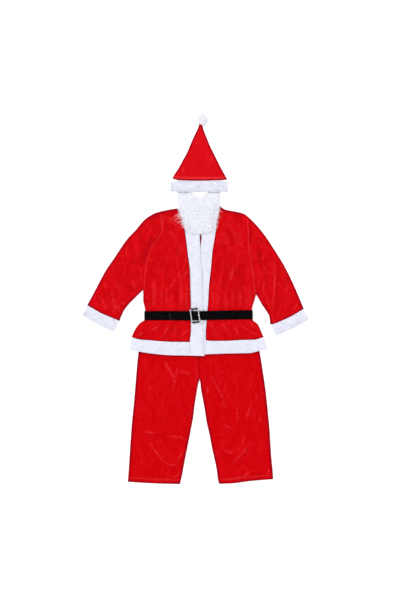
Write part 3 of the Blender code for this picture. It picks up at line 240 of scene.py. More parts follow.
LEG_LEFT_CREASES = milli([
    (5, -1.8, 34, -400, 43, -446), (6.5, 1.6, 40, -480, 46, -520),
    (7.5, 2.4, 60, -425, 90, -480, 115, -530, 131, -592), (6, -1.6, 75, -432, 104, -486, 128, -535),
    (7, 2, 190, -588, 193, -656), (7, 2, 256, -580, 247, -615, 234, -646), (7.5, 1.4, 290, -515, 284, -552),
    (6.5, 1.6, 226, -734, 219, -772), (6.5, 2, 123, -674, 144, -683, 167, -693),
    (6, 1.6, 104, -714, 116, -731), (5, -1.6, 88, -738, 94, -748),
    (6.5, 2.6, 104, -788, 130, -800, 154, -816, 171, -802), (5.5, -1.8, 94, -820, 108, -826),
    (6.5, 3, 256, -758, 237, -788, 220, -812, 194, -840, 168, -868),
    (6, -2.2, 268, -788, 238, -820, 204, -856), (6, -1.8, 303, -824, 302, -866),
    (8, 1.2, 306, -625, 302, -660), (8, 1.2, 302, -770, 300, -806),
    (6.5, 2, 266, -899, 222, -930, 156, -946), (8, 1.2, 352, -890, 340, -918),
    (12, 1, 270, -400, 262, -460, 240, -510), (11, 0.9, 180, -440, 192, -500, 184, -550),
])
HAT_CREASES = milli([
    (6, 1.6, -120, 559, 0, 557, 126, 559), (6, 1.4, -78, 574, -80, 596, -77, 616),
    (5.5, -1.2, -64, 624, -60, 585), (7, 1.2, 66, 670, 62, 640), (6, -1.2, 50, 590, 58, 612),
    (7, 1.2, -20, 742, -8, 722), (6, -1, -6, 640, 2, 622),
])

# Painted shade in the velour, in soft darker places: columns half width, how dark, then x, y, x, y along the
# middle. A negative one is a painted highlight.
FRONT_SHADES = milli([
    (10, 300, -200, 384, -150, 393, -105, 398), (8, 220, 108, 405, 150, 388, 200, 378),
    (7, 220, -268, 20, -262, -85), (14, 120, -215, 120, -225, 60), (30, 130, 190, 110, 220, 40),
    (16, 100, -120, 10, -105, -60), (11, -160, -172, 372, -190, 330, -205, 300),
    (12, -140, -135, 290, -105, 240, -88, 190), (10, -160, -150, 360, -118, 335, -100, 310),
    (8, 140, -165, 320, -125, 285, -102, 240), (22, 100, -220, 150, -170, 110),
    (11, -150, 140, 330, 175, 280, 190, 240), (10, -140, 115, 290, 140, 250, 150, 200),
    (9, 140, 120, 330, 155, 285, 170, 230), (13, -120, 175, 120, 160, 60), (8, -140, -226, 40, -224, -70),
    (8, -140, -90, 60, -94, -70), (9, -120, 200, 0, 206, -70),
])
SLEEVE_RIGHT_SHADES = milli([
    (11, 320, -238, 252, -258, 208, -276, 150), (7, 220, -205, 378, -250, 352),
    (14, 120, -330, 10, -370, -40),
])
SLEEVE_LEFT_SHADES = milli([
    (6, 300, 256, 305, 257, 235), (8, 140, 290, 0, 320, -45), (12, 140, 300, 180, 330, 60),
])


# Curves and grids

def between(at, knots, values):
    """Values read at the places `at`, smooth through a table and never beyond its own range."""
    at, knots, values = (np.asarray(numbers, float) for numbers in (at, knots, values))
    step = np.diff(knots)
    secant = np.diff(values) / step
    same_way = secant[:-1] * secant[1:] > 0
    total = np.where(same_way, secant[:-1] + secant[1:], 1.0)
    middle = np.where(same_way, 2 * secant[:-1] * secant[1:] / total, 0.0)
    slope = np.concatenate([secant[:1], middle, secant[-1:]])
    cell = np.clip(np.searchsorted(knots, at) - 1, 0, len(step) - 1)
    f = np.clip((at - knots[cell]) / step[cell], 0.0, 1.0)
    rise = step[cell] * (slope[cell] * f * (1 - f) ** 2 - slope[cell + 1] * f**2 * (1 - f))
    blend = f * f * (3 - 2 * f)
    return values[cell] * (1 - blend) + values[cell + 1] * blend + rise


def run_along(points):
    """How far each point of a line is from its start, along the line."""
    return np.concatenate([[0.0], np.cumsum(np.linalg.norm(np.diff(points, axis=0), axis=1))])


def along(table, shares):
    """Points at these shares of the length of a smooth curve through the table."""
    points = np.array(table, float)
    run = run_along(points)
    places = np.asarray(shares, float) * run[-1]
    return np.stack([between(places, run, points[:, k]) for k in (0, 1)], axis=1)


def edge_at(table, heights):
    """Points of an edge given as columns y, x, at these heights."""
    rows, heights = np.array(table, float), np.asarray(heights, float)
    return np.stack([between(heights, rows[:, 0], rows[:, 1]), heights], axis=1)


def edge_by(table, shares):
    """The same at shares of its whole height."""
    return edge_at(table, table[0][0] + shares * (table[-1][0] - table[0][0]))


def evened(points, count):
    """The same line at another number of points."""
    run = run_along(points)
    places = np.linspace(0, run[-1], count)
    return np.stack([np.interp(places, run, points[:, k]) for k in (0, 1)], axis=1)


def coons(first_row, last_row, first_column, last_column):
    """A grid of points over the area between four edges, each a list of points."""
    u, v = run_along(first_row), run_along(first_column)
    u, v = (u / u[-1])[None, :, None], (v / v[-1])[:, None, None]
    ruled = (1 - u) * first_column[:, None] + u * last_column[:, None]
    crossed = (1 - v) * first_row[None] + v * last_row[None]
    corners = (1 - v) * ((1 - u) * first_row[0] + u * first_row[-1])
    corners = corners + v * ((1 - u) * last_row[0] + u * last_row[-1])
    return ruled + crossed - corners


LEAST_STEP = 0.0007
EDGE_STEPS = (0.0, 0.0008, 0.0020, 0.0038)


def fractions(length, cell, extra=()):
    """Fractions from 0 to 1 at steps of about a cell, with more at the places in `extra`, in metres."""
    places = sorted([*np.linspace(0, length, max(2, round(length / cell) + 1)), *extra])
    kept = [places[0]]
    for place in places[1:]:
        if place - kept[-1] > LEAST_STEP:
            kept.append(place)
    kept[-1] = length
    return np.array(kept) / length


def edged(length, cell):
    """The same with the steps of a rounded edge at either end."""
    return fractions(length, cell, [*EDGE_STEPS, *(length - step for step in EDGE_STEPS)])


def strip(foot, head, depth, cell):
    """A grid of straight columns from one line to another, a depth apart."""
    return foot + edged(depth, cell)[:, None, None] * (head - foot)


def arc_lengths(grid, axis):
    """How far each point is along its grid line, from the line's start."""
    steps = np.linalg.norm(np.diff(grid, axis=axis), axis=-1)
    pad = [(0, 0), (0, 0)]
    pad[axis] = (1, 0)
    return np.pad(np.cumsum(steps, axis=axis), pad)


def margins(grid):
    """Distances along the grid lines to its first and last rows and its first and last columns."""
    down, across = arc_lengths(grid, 0), arc_lengths(grid, 1)
    return down, down[-1:] - down, across, across[:, -1:] - across


def bell(distance, width):
    """1 at no distance, fading to 0 over a few widths."""
    return np.exp(-((distance / width) ** 2))


def rounded(distance, radius):
    """The rise of a rounded edge: 0 at its rim and 1 from a radius inwards."""
    return np.sqrt(1 - (1 - np.clip(distance / radius, 0, 1)) ** 2)


def ripple(grid, size, seed, stretch=(1.0, 1.0)):
    """Smooth noise, from about -1 to 1, over a grid of x, y, with features of about this size."""
    scaled = grid[..., :2].reshape(-1, 2) / size / np.array(stretch)
    values = [noise.noise((x + 7.3 * seed, y - 3.1 * seed, 1.7 * seed)) for x, y in scaled]
    return np.array(values).reshape(grid.shape[:-1])


def smoothed(heights, rounds=1):
    """Heights blurred over their neighbours."""
    for _ in range(rounds):
        for axis, pad in ((0, ((1, 1), (0, 0))), (1, ((0, 0), (1, 1)))):
            wide, count = np.pad(heights, pad, mode="edge"), heights.shape[axis]
            heights = heights / 2 + (wide.take(range(count), axis) + wide.take(range(2, count + 2), axis)) / 4
    return heights


CREASE_WIDTH, CREASE_RISE, TROUGH_SHARE = 0.80, 1.05, 0.5
NARROW_CREASE, PLAIN_RISE, CREASE_LIMIT = 0.0068, 0.0025, 1.0
# Painted light along creases: how pale the painted highlight on a crest, how dark the painted shade in a
# trough, the share for wide creases and the fine line's width.
CREST_PALE, TROUGH_DARK, WIDE_SHARE, FINE_WIDTH = 0.62, 0.45, 0.35, 0.42
HOLLOW_DEPTH, HOLLOW_AWAY, HOLLOW_WIDTH = 0.35, 2.1, 1.1


def creased(grid, table, crest_only=False):
    """The height that a table of creases adds over a grid, each with a faint hollow beside it.

    With `crest_only`, the painted light that the creases give each point instead: a painted highlight on a
    crest up to 1, painted shade in a trough down to -1.
    """
    rise = np.zeros(grid.shape[:-1])
    for half_width, height, *path in table:
        half_width, height = CREASE_WIDTH * half_width, CREASE_RISE * height
        height *= TROUGH_SHARE if height < 0 else 1
        points = np.reshape(path, (-1, 2))
        low, high = points.min(axis=0) - 5 * half_width, points.max(axis=0) + 5 * half_width
        near = ((grid > low) & (grid < high)).all(axis=-1)
        if not near.any():
            continue
        places = grid[near]
        line = along(points, np.linspace(0, 1, 4 * len(points)))
        start, step = line[:-1], np.diff(line, axis=0)
        share = np.clip(((places[:, None] - start) * step).sum(axis=2) / (step**2).sum(axis=1), 0, 1)
        offset = places[:, None] - (start + share[..., None] * step)
        gap = np.linalg.norm(offset, axis=2)
        nearest, rows = gap.argmin(axis=1), np.arange(len(places))
        off, offset, step_there = gap[rows, nearest], offset[rows, nearest], step[nearest]
        at = (nearest + share[rows, nearest]) / len(step)
        fade = np.clip(np.sin(math.pi * np.clip(at, 0.04, 0.96)), 0, 1) ** 0.6
        width = half_width * (0.8 + 0.4 * fade)
        crest = bell(off, width)
        # Painted light: a painted highlight along a crest, painted shade in a trough.
        if crest_only:
            fine = bell(off, 0.0020 + FINE_WIDTH * half_width)
            broken = np.clip(0.62 + 0.9 * ripple(places, 0.014, 17) + 0.3 * ripple(places, 0.006, 18), 0, 1)
            share = 1.0 if half_width < NARROW_CREASE else WIDE_SHARE
            share *= min(1.0, 0.25 + abs(height) / PLAIN_RISE)
            rise[near] += share * fade * broken * (CREST_PALE * fine if height > 0 else -TROUGH_DARK * crest)
        else:
            side = np.sign(step_there[:, 0] * offset[:, 1] - step_there[:, 1] * offset[:, 0])
            hollow = bell(off * side - HOLLOW_AWAY * width, HOLLOW_WIDTH * width)
            rise[near] += height * fade * (crest - HOLLOW_DEPTH * hollow)
    return np.clip(rise, -CREASE_LIMIT, CREASE_LIMIT)


def shaded(grid, table):
    """The painted shade over a grid from a table of soft places; a negative one gives a painted highlight."""
    painted_light = np.zeros(grid.shape[:-1])
    for half_width, depth, *path in table:
        line = along(np.reshape(path, (-1, 2)), np.linspace(0, 1, 12))
        painted_light -= depth * bell(np.linalg.norm(grid[..., None, :] - line, axis=-1).min(axis=-1), half_width)
    return painted_light


MINOR_TILT, MINOR_BOW, MINOR_HALF = 0.675, 0.0035, (0.007, 0.026)
MINOR_RISE, MINOR_WIDTH, MINOR_CRESTS = (0.0004, 0.0011), (0.0034, 0.0052), 0.75


def minor_creases(seed, low, high, count):
    """Short faint creases scattered over a box of x, y; most run up and down."""
    rng = np.random.default_rng(SEED + seed)
    table = []
    for _ in range(count):
        place = rng.uniform(low[:2], high[:2])
        turn = math.pi / 2 + MINOR_TILT * rng.normal()
        way = np.array([math.cos(turn), math.sin(turn)])
        bow = np.array([-way[1], way[0]]) * MINOR_BOW * rng.normal()
        half = way * rng.uniform(*MINOR_HALF)
        rise = rng.uniform(*MINOR_RISE) * (1 if rng.random() < MINOR_CRESTS else -1)
        table.append((rng.uniform(*MINOR_WIDTH), rise, *(place - half), *(place + bow), *(place + half)))
    return table


def puckers(distance, run, seed, reach, length, depth):
    """Small pulls along a seam: `distance` from it and the `run` along it."""
    waver = 1.5 * np.sin(run / (2.7 * length) + seed) + seed
    return depth * np.sin(2 * math.pi * run / length + waver) * bell(distance, reach)


# Pulls along seams: how far they reach, their length along the seam and their depth.
HEM_PULLS = (0.011, 0.017, 0.00045)
LEG_SEAM_PULLS = (0.012, 0.021, 0.0003)
PLACKET_PULLS = (0.014, 0.026, 0.0006)
HEM_BAND_PULLS = (0.016, 0.030, 0.0007)
SIDE_PULLS = (0.012, 0.024, 0.0005)
CUFF_PULLS = (0.014, 0.022, 0.0008)
ARMHOLE_PULLS = (0.013, 0.027, 0.0006)
HAT_PULLS = (0.010, 0.018, 0.0004)


def undulation(grid, seed):
    """The slow unevenness of cloth that lies on something, with a finer one on it."""
    return 0.0007 * ripple(grid, 0.055, seed, (1.0, 1.5)) + 0.00028 * ripple(grid, 0.019, seed + 5)


# Solids as carriers of height

class Solid:
    """Heights over and under one or more CAD nodes."""

    def __init__(self, *names):
        points, faces = [], []
        for name in names:
            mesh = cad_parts[name].data
            start = len(points)
            points += [vertex.co.copy() for vertex in mesh.vertices]
            faces += [[start + corner for corner in face.vertices] for face in mesh.polygons]
        self.tree = BVHTree.FromPolygons(points, faces)

    def read(self, grid, down=True):
        """The height met at each point of a grid, from above or from below; where it is missed, none."""
        start, way = (1.0, -1.0) if down else (-1.0, 1.0)
        heights = np.full(grid.shape[:-1], np.nan)
        for index in np.ndindex(heights.shape):
            x, y = grid[index][:2]
            hit = self.tree.ray_cast(Vector((x, y, start)), Vector((0, 0, way)))[0]
            if hit is not None:
                heights[index] = hit.z
        return heights

    def heights(self, grid, down=True):
        """The same, with the missed points filled in from their neighbours."""
        return filled(self.read(grid, down))


def filled(heights):
    """Heights with the missing ones taken from their neighbours."""
    heights = heights.copy()
    while np.isnan(heights).any():
        wide = np.pad(heights, 1, constant_values=np.nan)
        around = np.stack([wide[:-2, 1:-1], wide[2:, 1:-1], wide[1:-1, :-2], wide[1:-1, 2:]])
        count = (~np.isnan(around)).sum(axis=0)
        gaps = np.isnan(heights) & (count > 0)
        heights[gaps] = (np.nansum(around, axis=0) / np.maximum(count, 1))[gaps]
    return heights


def filled_along(heights):
    """Missing heights at each row's ends take those of the nearest known column."""
    heights = heights.copy()
    for row in heights:
        known = np.flatnonzero(~np.isnan(row))
        if len(known):
            row[:known[0]], row[known[-1] + 1:] = row[known[0]], row[known[-1]]
    return filled(heights)


# Meshes

def unit(vectors):
    """The same vectors at a length of 1."""
    return vectors / np.maximum(np.linalg.norm(vectors, axis=-1, keepdims=True), 1e-12)


def added(name, data):
    """A new object in the scene."""
    made = bpy.data.objects.new(name, data)
    bpy.context.scene.collection.objects.link(made)
    return made


def mesh_of(name, points, faces, finish, smooth=True):
    """An object from points and faces, all facing out."""
    points, faces = np.asarray(points, np.float32), np.asarray(faces, np.int32)
    triangles = np.concatenate([faces[:, [0, i, i + 1]] for i in range(1, faces.shape[1] - 1)])
    if np.linalg.det(points[triangles].astype(float)).sum() < 0:
        faces = faces[:, ::-1]
    mesh = bpy.data.meshes.new(name)
    mesh.vertices.add(len(points))
    mesh.vertices.foreach_set("co", points.ravel())
    mesh.loops.add(faces.size)
    mesh.loops.foreach_set("vertex_index", faces.ravel())
    mesh.polygons.add(len(faces))
    mesh.polygons.foreach_set("loop_start", np.arange(0, faces.size, faces.shape[1]))
    mesh.update(calc_edges=True)
    mesh.polygons.foreach_set("use_smooth", np.full(len(faces), smooth))
    mesh.validate()
    mesh.materials.append(finish)
    return added(name, mesh)


def mesh_from(name, edited, finish):
    """A smooth object from a bmesh, which is freed."""
    for face in edited.faces:
        face.smooth = True
    mesh = bpy.data.meshes.new(name)
    edited.to_mesh(mesh)
    edited.free()
    mesh.materials.append(finish)
    return added(name, mesh)


def paint_light_on(made, painted_light):
    """Writes a piece's painted light, point by point: above 0 a painted highlight, below 0 painted shade."""
    values = np.zeros(len(made.data.vertices), np.float32)
    painted_light = np.asarray(painted_light, np.float32).ravel()
    values[:len(painted_light)] = painted_light
    made.data.attributes.new("painted_light", "FLOAT", "POINT").data.foreach_set("value", values)


def placed(made, slot, *nodes):
    """Puts a piece on the root body and hides the CAD nodes that it stands for. Its material slot, `slot`, is
    not used.
    """
    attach(made, "root")
    if nodes:
        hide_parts(*nodes)
    return made


def raised(grid, heights):
    """A flat grid with a height at each point."""
    return np.concatenate([grid, np.asarray(heights)[..., None]], axis=2)


def border(rows, columns):
    """Grid places round the border, in order."""
    places = [(0, c) for c in range(columns)] + [(r, columns - 1) for r in range(1, rows)]
    places += [(rows - 1, c) for c in range(columns - 2, -1, -1)]
    return places + [(r, 0) for r in range(rows - 2, 0, -1)]


def walls(index):
    """The square faces between each row of points and the next."""
    return np.stack([index[:-1, :-1], index[:-1, 1:], index[1:, 1:], index[1:, :-1]], axis=-1).reshape(-1, 4)


def ring(upper, lower):
    """The square faces between two closed loops of points."""
    return np.stack([np.roll(upper, -1), upper, lower, np.roll(lower, -1)], axis=1)


def looped(index):
    """A grid of points with its first column repeated after the last."""
    return np.concatenate([index, index[:, :1]], axis=1)


def shell(name, outer, inner, rim, finish):
    """The closed mesh between two grids of points, its rim running through a list of points."""
    rows, columns = outer.shape[:2]
    count = rows * columns
    index = np.arange(count).reshape(rows, columns)
    square = walls(index)
    top = np.array([index[place] for place in border(rows, columns)])
    middle = 2 * count + np.arange(len(top))
    faces = [square, count + square[:, ::-1], ring(top, middle), ring(middle, top + count)]
    points = np.concatenate([outer.reshape(-1, 3), inner.reshape(-1, 3), rim])
    return mesh_of(name, points, np.concatenate(faces), finish)


# Pile and hair

def within(values, row, column, s, t):
    """Values of a grid inside its cells, at the shares s and t of a cell."""
    near = values[row, column] * (1 - t) + values[row, column + 1] * t
    far = values[row + 1, column] * (1 - t) + values[row + 1, column + 1] * t
    return near * (1 - s) + far * s


def scattered(points, count, rng):
    """Places spread evenly over a grid of points, and the upward normals there."""
    normal = np.cross(np.gradient(points, axis=1), np.gradient(points, axis=0))
    normal = unit(normal * np.sign(normal[..., 2:]))
    sides = points[1:, :-1] - points[:-1, :-1], points[:-1, 1:] - points[:-1, :-1]
    cell = np.linalg.norm(np.cross(*sides), axis=2)
    chosen = np.searchsorted(np.cumsum(cell.ravel()) / cell.sum(), rng.random(count))
    row, column = np.unravel_index(chosen, cell.shape)
    s, t = rng.random(count)[:, None], rng.random(count)[:, None]
    return within(points, row, column, s, t), unit(within(normal, row, column, s, t))


def three_round(points, ways, widths, tilt):
    """Three points round each point of a fibre."""
    side = unit(np.cross(ways, np.array(tilt)))
    other = np.cross(ways, side)
    turns = [2 * math.pi * k / 3 for k in range(3)]
    return [points + widths[..., None] / 2 * (math.cos(t) * side + math.sin(t) * other) for t in turns]


def spikes(name, roots, tips, widths, finish):
    """Short closed fibres, each a slim three-sided spike."""
    points = np.stack([*three_round(roots, unit(tips - roots), widths, (0.31, 0.17, 0.93)), tips], axis=1)
    corners = np.array([[0, 1, 3], [1, 2, 3], [2, 0, 3], [0, 2, 1]])
    faces = (np.arange(len(roots))[:, None, None] * 4 + corners[None]).reshape(-1, 3)
    return mesh_of(name, points.reshape(-1, 3), faces, finish, smooth=False)


def strands(name, paths, widths, finish):
    """Closed tubes along many paths of the same number of points; `widths` has one for each point."""
    tangent = unit(np.gradient(paths, axis=1))
    points = np.stack(three_round(paths, tangent, widths, (0.13, 0.21, 0.97)), axis=2)
    index = np.arange(points.size // 3).reshape(points.shape[:3])
    turned = np.roll(index, -1, axis=2)
    wall = np.stack([index[:, :-1], turned[:, :-1], turned[:, 1:], index[:, 1:]], axis=-1).reshape(-1, 4)
    faces = [wall[:, [0, 1, 2]], wall[:, [0, 2, 3]], index[:, 0, ::-1], index[:, -1]]
    return mesh_of(name, points.reshape(-1, 3), np.concatenate(faces), finish, smooth=False)


def ribbons(name, paths, widths, rolls, finish):
    """Flat fibres along many paths of the same number of points, each rolled about its path."""
    tangent = unit(np.gradient(paths, axis=1))
    side = unit(np.cross(tangent, np.array([0.05, 0.03, 1.0])))
    across = np.cos(rolls)[:, None, None] * side + np.sin(rolls)[:, None, None] * np.cross(side, tangent)
    half = widths[..., None] / 2 * across
    points = np.stack([paths - half, paths + half], axis=2)
    index = np.arange(points.size // 3).reshape(points.shape[:3])
    faces = np.stack([index[:, :-1, 0], index[:, :-1, 1], index[:, 1:, 1], index[:, 1:, 0]], axis=-1)
    return mesh_of(name, points.reshape(-1, 3), faces.reshape(-1, 4), finish, smooth=False)


# Finishes

def material(name, values):
    """A new material, its nodes and its shader with these values."""
    made = bpy.data.materials.new(name)
    made.use_nodes = True
    shader = made.node_tree.nodes["Principled BSDF"]
    for key, value in values.items():
        shader.inputs[key].default_value = value
    return made, made.node_tree, shader


def added_node(tree, kind, values=None, links=None, **settings):
    """A shader node with its settings, and the values and links of its inputs."""
    made = tree.nodes.new("ShaderNode" + kind)
    for key, value in settings.items():
        setattr(made, key, value)
    for key, value in (values or {}).items():
        made.inputs[key].default_value = value
    for key, value in (links or {}).items():
        tree.links.new(value, made.inputs[key])
    return made


def own_place(tree):
    """A point's place in the object's own coordinates."""
    return added_node(tree, "TexCoord").outputs["Object"]


def noise_node(tree, scale, detail=2.0, rough=0.5, stretch=(1, 1, 1), warp=0.0):
    """Noise in the object's own coordinates."""
    turn = added_node(tree, "Mapping", {"Scale": stretch}, {"Vector": own_place(tree)})
    values = {"Scale": scale, "Detail": detail, "Roughness": rough, "Distortion": warp}
    return added_node(tree, "TexNoise", values, {"Vector": turn.outputs["Vector"]}).outputs["Fac"]


def ranged(tree, value, low=0.0, high=1.0, start=0.0, end=1.0):
    """A value carried from the range low to high over to start to end."""
    values = {"From Min": low, "From Max": high, "To Min": start, "To Max": end}
    return added_node(tree, "MapRange", values, {"Value": value}).outputs["Result"]


def multiplied(tree, value, factor):
    """A value times a factor, kept from 0 to 1."""
    made = added_node(tree, "Math", {1: factor}, {0: value}, operation="MULTIPLY", use_clamp=True)
    return made.outputs[0]


def ramp(tree, value, stops):
    """Colours read from stops of place and colour."""
    made = added_node(tree, "ValToRGB", links={"Fac": value})
    while len(made.color_ramp.elements) < len(stops):
        made.color_ramp.elements.new(0.5)
    for element, (place, colour) in zip(made.color_ramp.elements, stops):
        element.position = place
        element.color = (*colour, 1.0)
    return made.outputs["Color"]


def mixed(tree, share, colour, other):
    """A colour mixed towards another by a share."""
    links = {"Factor": share, 6: colour}
    return added_node(tree, "Mix", {7: (*other, 1.0)}, links, data_type="RGBA").outputs[2]


def bumped(tree, shader, layers):
    """Bump from layers of a value and its height in metres."""
    normal = None
    for value, height in layers:
        links = {"Height": value} if normal is None else {"Height": value, "Normal": normal}
        normal = added_node(tree, "Bump", {"Distance": height}, links).outputs["Normal"]
    tree.links.new(normal, shader.inputs["Normal"])


def painted_light_value(tree):
    """The painted light of a piece, as it was written on its points."""
    return added_node(tree, "Attribute", attribute_name="painted_light").outputs["Fac"]


def shade_of(base, share, tint=(0.0, 0.0, 0.0)):
    """A share of a colour, with a tint added."""
    return tuple(share * part + more for part, more in zip(base, tint))


# Tints of the cloudy tone, of painted shade, of the crushed lines and of painted highlights.
CLOUD_TINT = (0.0, 0.002, 0.004)
PAINTED_SHADE_TINT = (0.0, 0.0005, 0.010)
CRUSH_TINT = (0.02, 0.012, 0.014)
PAINTED_HIGHLIGHT_TINT = (0.04, 0.030, 0.034)
CRUSH_PALE = 1.16

# Painted light from the point attribute: a painted highlight above 0 and painted shade below 0, each as
# factor of the attribute, share of the colour, tint.
PAINTED_LIGHT_TONES = ((0.95, 1.22, PAINTED_HIGHLIGHT_TINT), (-0.85, 0.17, PAINTED_SHADE_TINT))


def crush_lines(tree, strength):
    """Faint wandering lines where velour was folded in its packet, strong in patches only."""
    field = noise_node(tree, 15, detail=1.5, rough=0.40, stretch=(1, 0.55, 1))
    centred = added_node(tree, "Math", {1: 0.5}, {0: field}, operation="SUBTRACT").outputs[0]
    away = added_node(tree, "Math", links={0: centred}, operation="ABSOLUTE").outputs[0]
    thin = ranged(tree, away, high=0.014, start=strength, end=0.0)
    patches = ranged(tree, noise_node(tree, 13, detail=3.0), low=0.44, high=0.64)
    return added_node(tree, "Math", links={0: thin, 1: patches}, operation="MULTIPLY").outputs[0]


def velour(name, base, sheen, mottle, crush):
    """Short-pile polyester velour whose tone varies a little from place to place, with painted highlights and
    painted shade from the point attribute. `mottle` is how much its tone varies, `crush` how strong its
    crushed lines are."""
    made, tree, shader = material(name, {
        "Roughness": 0.85, "Specular IOR Level": 0.02, "Sheen Weight": sheen, "Sheen Roughness": 0.30,
        "Sheen Tint": (1.0, 0.03, 0.05, 1.0),
    })
    cloudy = noise_node(tree, 34, detail=3.0, rough=0.52, stretch=(1, 0.45, 1), warp=1.4)
    pale = shade_of(base, 1 + mottle, CLOUD_TINT)
    colour = ramp(tree, cloudy, [(0.32, shade_of(base, 1 - mottle)), (0.50, base), (0.70, pale)])
    colour = mixed(tree, crush_lines(tree, crush), colour, shade_of(base, CRUSH_PALE, CRUSH_TINT))
    grains = (95, 0.48, 0.75, (1, 0.7, 1), 0.6 * mottle), (420, 0.56, 0.80, (1, 1, 1), 0.10)
    for scale, low, high, stretch, depth in grains:
        grain = noise_node(tree, scale, detail=3.0, rough=0.65, stretch=stretch)
        grain = ranged(tree, grain, low, high)
        colour = mixed(tree, grain, colour, shade_of(base, 1 - depth))
    # Painted highlights and painted shade, from the point attribute.
    painted_light = painted_light_value(tree)
    for factor, share, tint in PAINTED_LIGHT_TONES:
        colour = mixed(tree, multiplied(tree, painted_light, factor), colour, shade_of(base, share, tint))
    tree.links.new(colour, shader.inputs["Base Color"])
    drift = noise_node(tree, 120, detail=3.0, rough=0.6, stretch=(1, 0.5, 1))
    fine = noise_node(tree, 900, rough=0.6)
    bumped(tree, shader, [(drift, 0.0005), (fine, 0.0002)])
    return made


def plush(name, base, shade):
    """White pile, slightly greyer and bluer at random: a painted shade for the hollows between its tufts."""
    made, tree, shader = material(name, {
        "Roughness": 0.95, "Specular IOR Level": 0.10, "Sheen Weight": 0.15, "Sheen Roughness": 0.5,
    })
    tufts = noise_node(tree, 90, detail=4.0, rough=0.6)
    tree.links.new(ramp(tree, tufts, [(0.25, shade), (0.55, base)]), shader.inputs["Base Color"])
    bumped(tree, shader, [(noise_node(tree, 260, detail=3.0, rough=0.6), 0.0012)])
    return made


def leatherette(name):
    """Black leatherette with a fine grain, rubbed a little paler along its wear, and with a painted highlight
    where its point attribute is set.
    """
    made, tree, shader = material(name, {"Specular IOR Level": 0.03})
    worn = noise_node(tree, 45, detail=4.0, rough=0.6)
    dark, middling, rubbed = (0.0004, 0.0003, 0.0006), (0.0014, 0.0012, 0.0018), (0.0050, 0.0045, 0.0058)
    colour = ramp(tree, worn, [(0.35, dark), (0.60, middling), (0.75, rubbed)])
    colour = mixed(tree, painted_light_value(tree), colour, (0.020, 0.019, 0.022))
    tree.links.new(colour, shader.inputs["Base Color"])
    tree.links.new(ranged(tree, worn, start=0.36, end=0.52), shader.inputs["Roughness"])
    place = {"Vector": own_place(tree)}
    grain = added_node(tree, "TexVoronoi", {"Scale": 700}, place, feature="DISTANCE_TO_EDGE")
    uneven = noise_node(tree, 160, detail=3.0)
    bumped(tree, shader, [(grain.outputs["Distance"], 0.0003), (uneven, 0.0004)])
    return made


def plated(name, tone):
    """Plated metal with faint brushing and handling marks."""
    made, tree, shader = material(name, {"Base Color": (*tone, 1.0), "Metallic": 1.0})
    marks = noise_node(tree, 160, detail=4.0, rough=0.65, stretch=(1, 0.12, 1))
    tree.links.new(ranged(tree, marks, start=0.16, end=0.34), shader.inputs["Roughness"])
    bumped(tree, shader, [(marks, 0.00008)])
    return made


def shade_painted_metal(name):
    """Nickel painted dark, dull and slightly rubbed: painted shade for the dark reflections of the buckle's
    bars and prong.
    """
    made, tree, shader = material(name, {"Roughness": 0.5, "Specular IOR Level": 0.08})
    stops = [(0.40, (0.004, 0.004, 0.005)), (0.75, (0.012, 0.012, 0.014))]
    rubbed = noise_node(tree, 220, detail=3.0, rough=0.6)
    tree.links.new(ramp(tree, rubbed, stops), shader.inputs["Base Color"])
    return made


jacket_velour = velour("jacket_velour", (0.520, 0.0012, 0.0034), sheen=0.28, mottle=0.16, crush=0.50)
trouser_velour = velour("trouser_velour", (0.505, 0.0004, 0.0020), sheen=0.24, mottle=0.085, crush=0.20)
hat_velour = velour("hat_velour", (0.560, 0.0026, 0.0060), sheen=0.34, mottle=0.09, crush=0.15)
fleece = plush("white_fleece", (0.78, 0.785, 0.875), (0.73, 0.74, 0.84))
fleece_pile = plush("white_pile", (0.790, 0.797, 0.852), (0.755, 0.765, 0.83))
hair = plush("white_hair", (0.865, 0.872, 0.935), (0.83, 0.84, 0.915))
yarn_white = plush("white_yarn", (0.96, 0.963, 0.995), (0.93, 0.94, 0.985))
thread_red = velour("red_thread", (0.64, 0.020, 0.030), sheen=0.2, mottle=0.05, crush=0.0)
belt_black = leatherette("black_leatherette")
nickel = plated("nickel_plate", (0.72, 0.72, 0.73))
shade_painted_nickel = shade_painted_metal("nickel_painted_shade")


# Cloth pieces

WALL, PLUSH_WALL, PANEL_INSET = 0.0012, 0.0014, 0.0006
CELL, TRIM_CELL, BAND_CELL, UNDER_CELL, FLOOR_CELL = 0.0038, 0.0045, 0.0060, 0.010, 0.014
FOLD_RADIUS, SEAM_RADIUS = 0.0035, 0.0022
FOLD_MARGIN, SEAM_MARGIN = 0.009, 0.007
NO_LIMIT = 1.0
# How strongly the minor creases give painted light.
MINOR_PAINTED_LIGHT = 0.55


def surface(points):
    """The area of a grid of points."""
    one = np.cross(points[1:, :-1] - points[:-1, :-1], points[:-1, 1:] - points[:-1, :-1])
    two = np.cross(points[1:, :-1] - points[1:, 1:], points[:-1, 1:] - points[1:, 1:])
    return (np.linalg.norm(one, axis=-1).sum() + np.linalg.norm(two, axis=-1).sum()) / 2


def shrunk(grid, reach, first_row, last_row, first_column, last_column):
    """The grid drawn in from its four edges, by an inset for each that eases off within a reach."""
    down, up, right, left = margins(grid)
    with_rows, with_columns = unit(np.gradient(grid, axis=0)), unit(np.gradient(grid, axis=1))
    moved = grid.copy()
    for distance, way, inset in (
        (down, with_rows, first_row), (up, -with_rows, last_row),
        (right, with_columns, first_column), (left, -with_columns, last_column),
    ):
        moved += (inset * np.clip(1 - distance / reach, 0, 1))[..., None] * way
    return moved


def held(grid, heights):
    """Heights near a tube's fold and seam taken from further in."""
    _, _, from_fold, from_seam = margins(grid)
    inside = (from_fold > FOLD_MARGIN) & (from_seam > SEAM_MARGIN)
    return filled_along(np.where(inside, heights, np.nan))


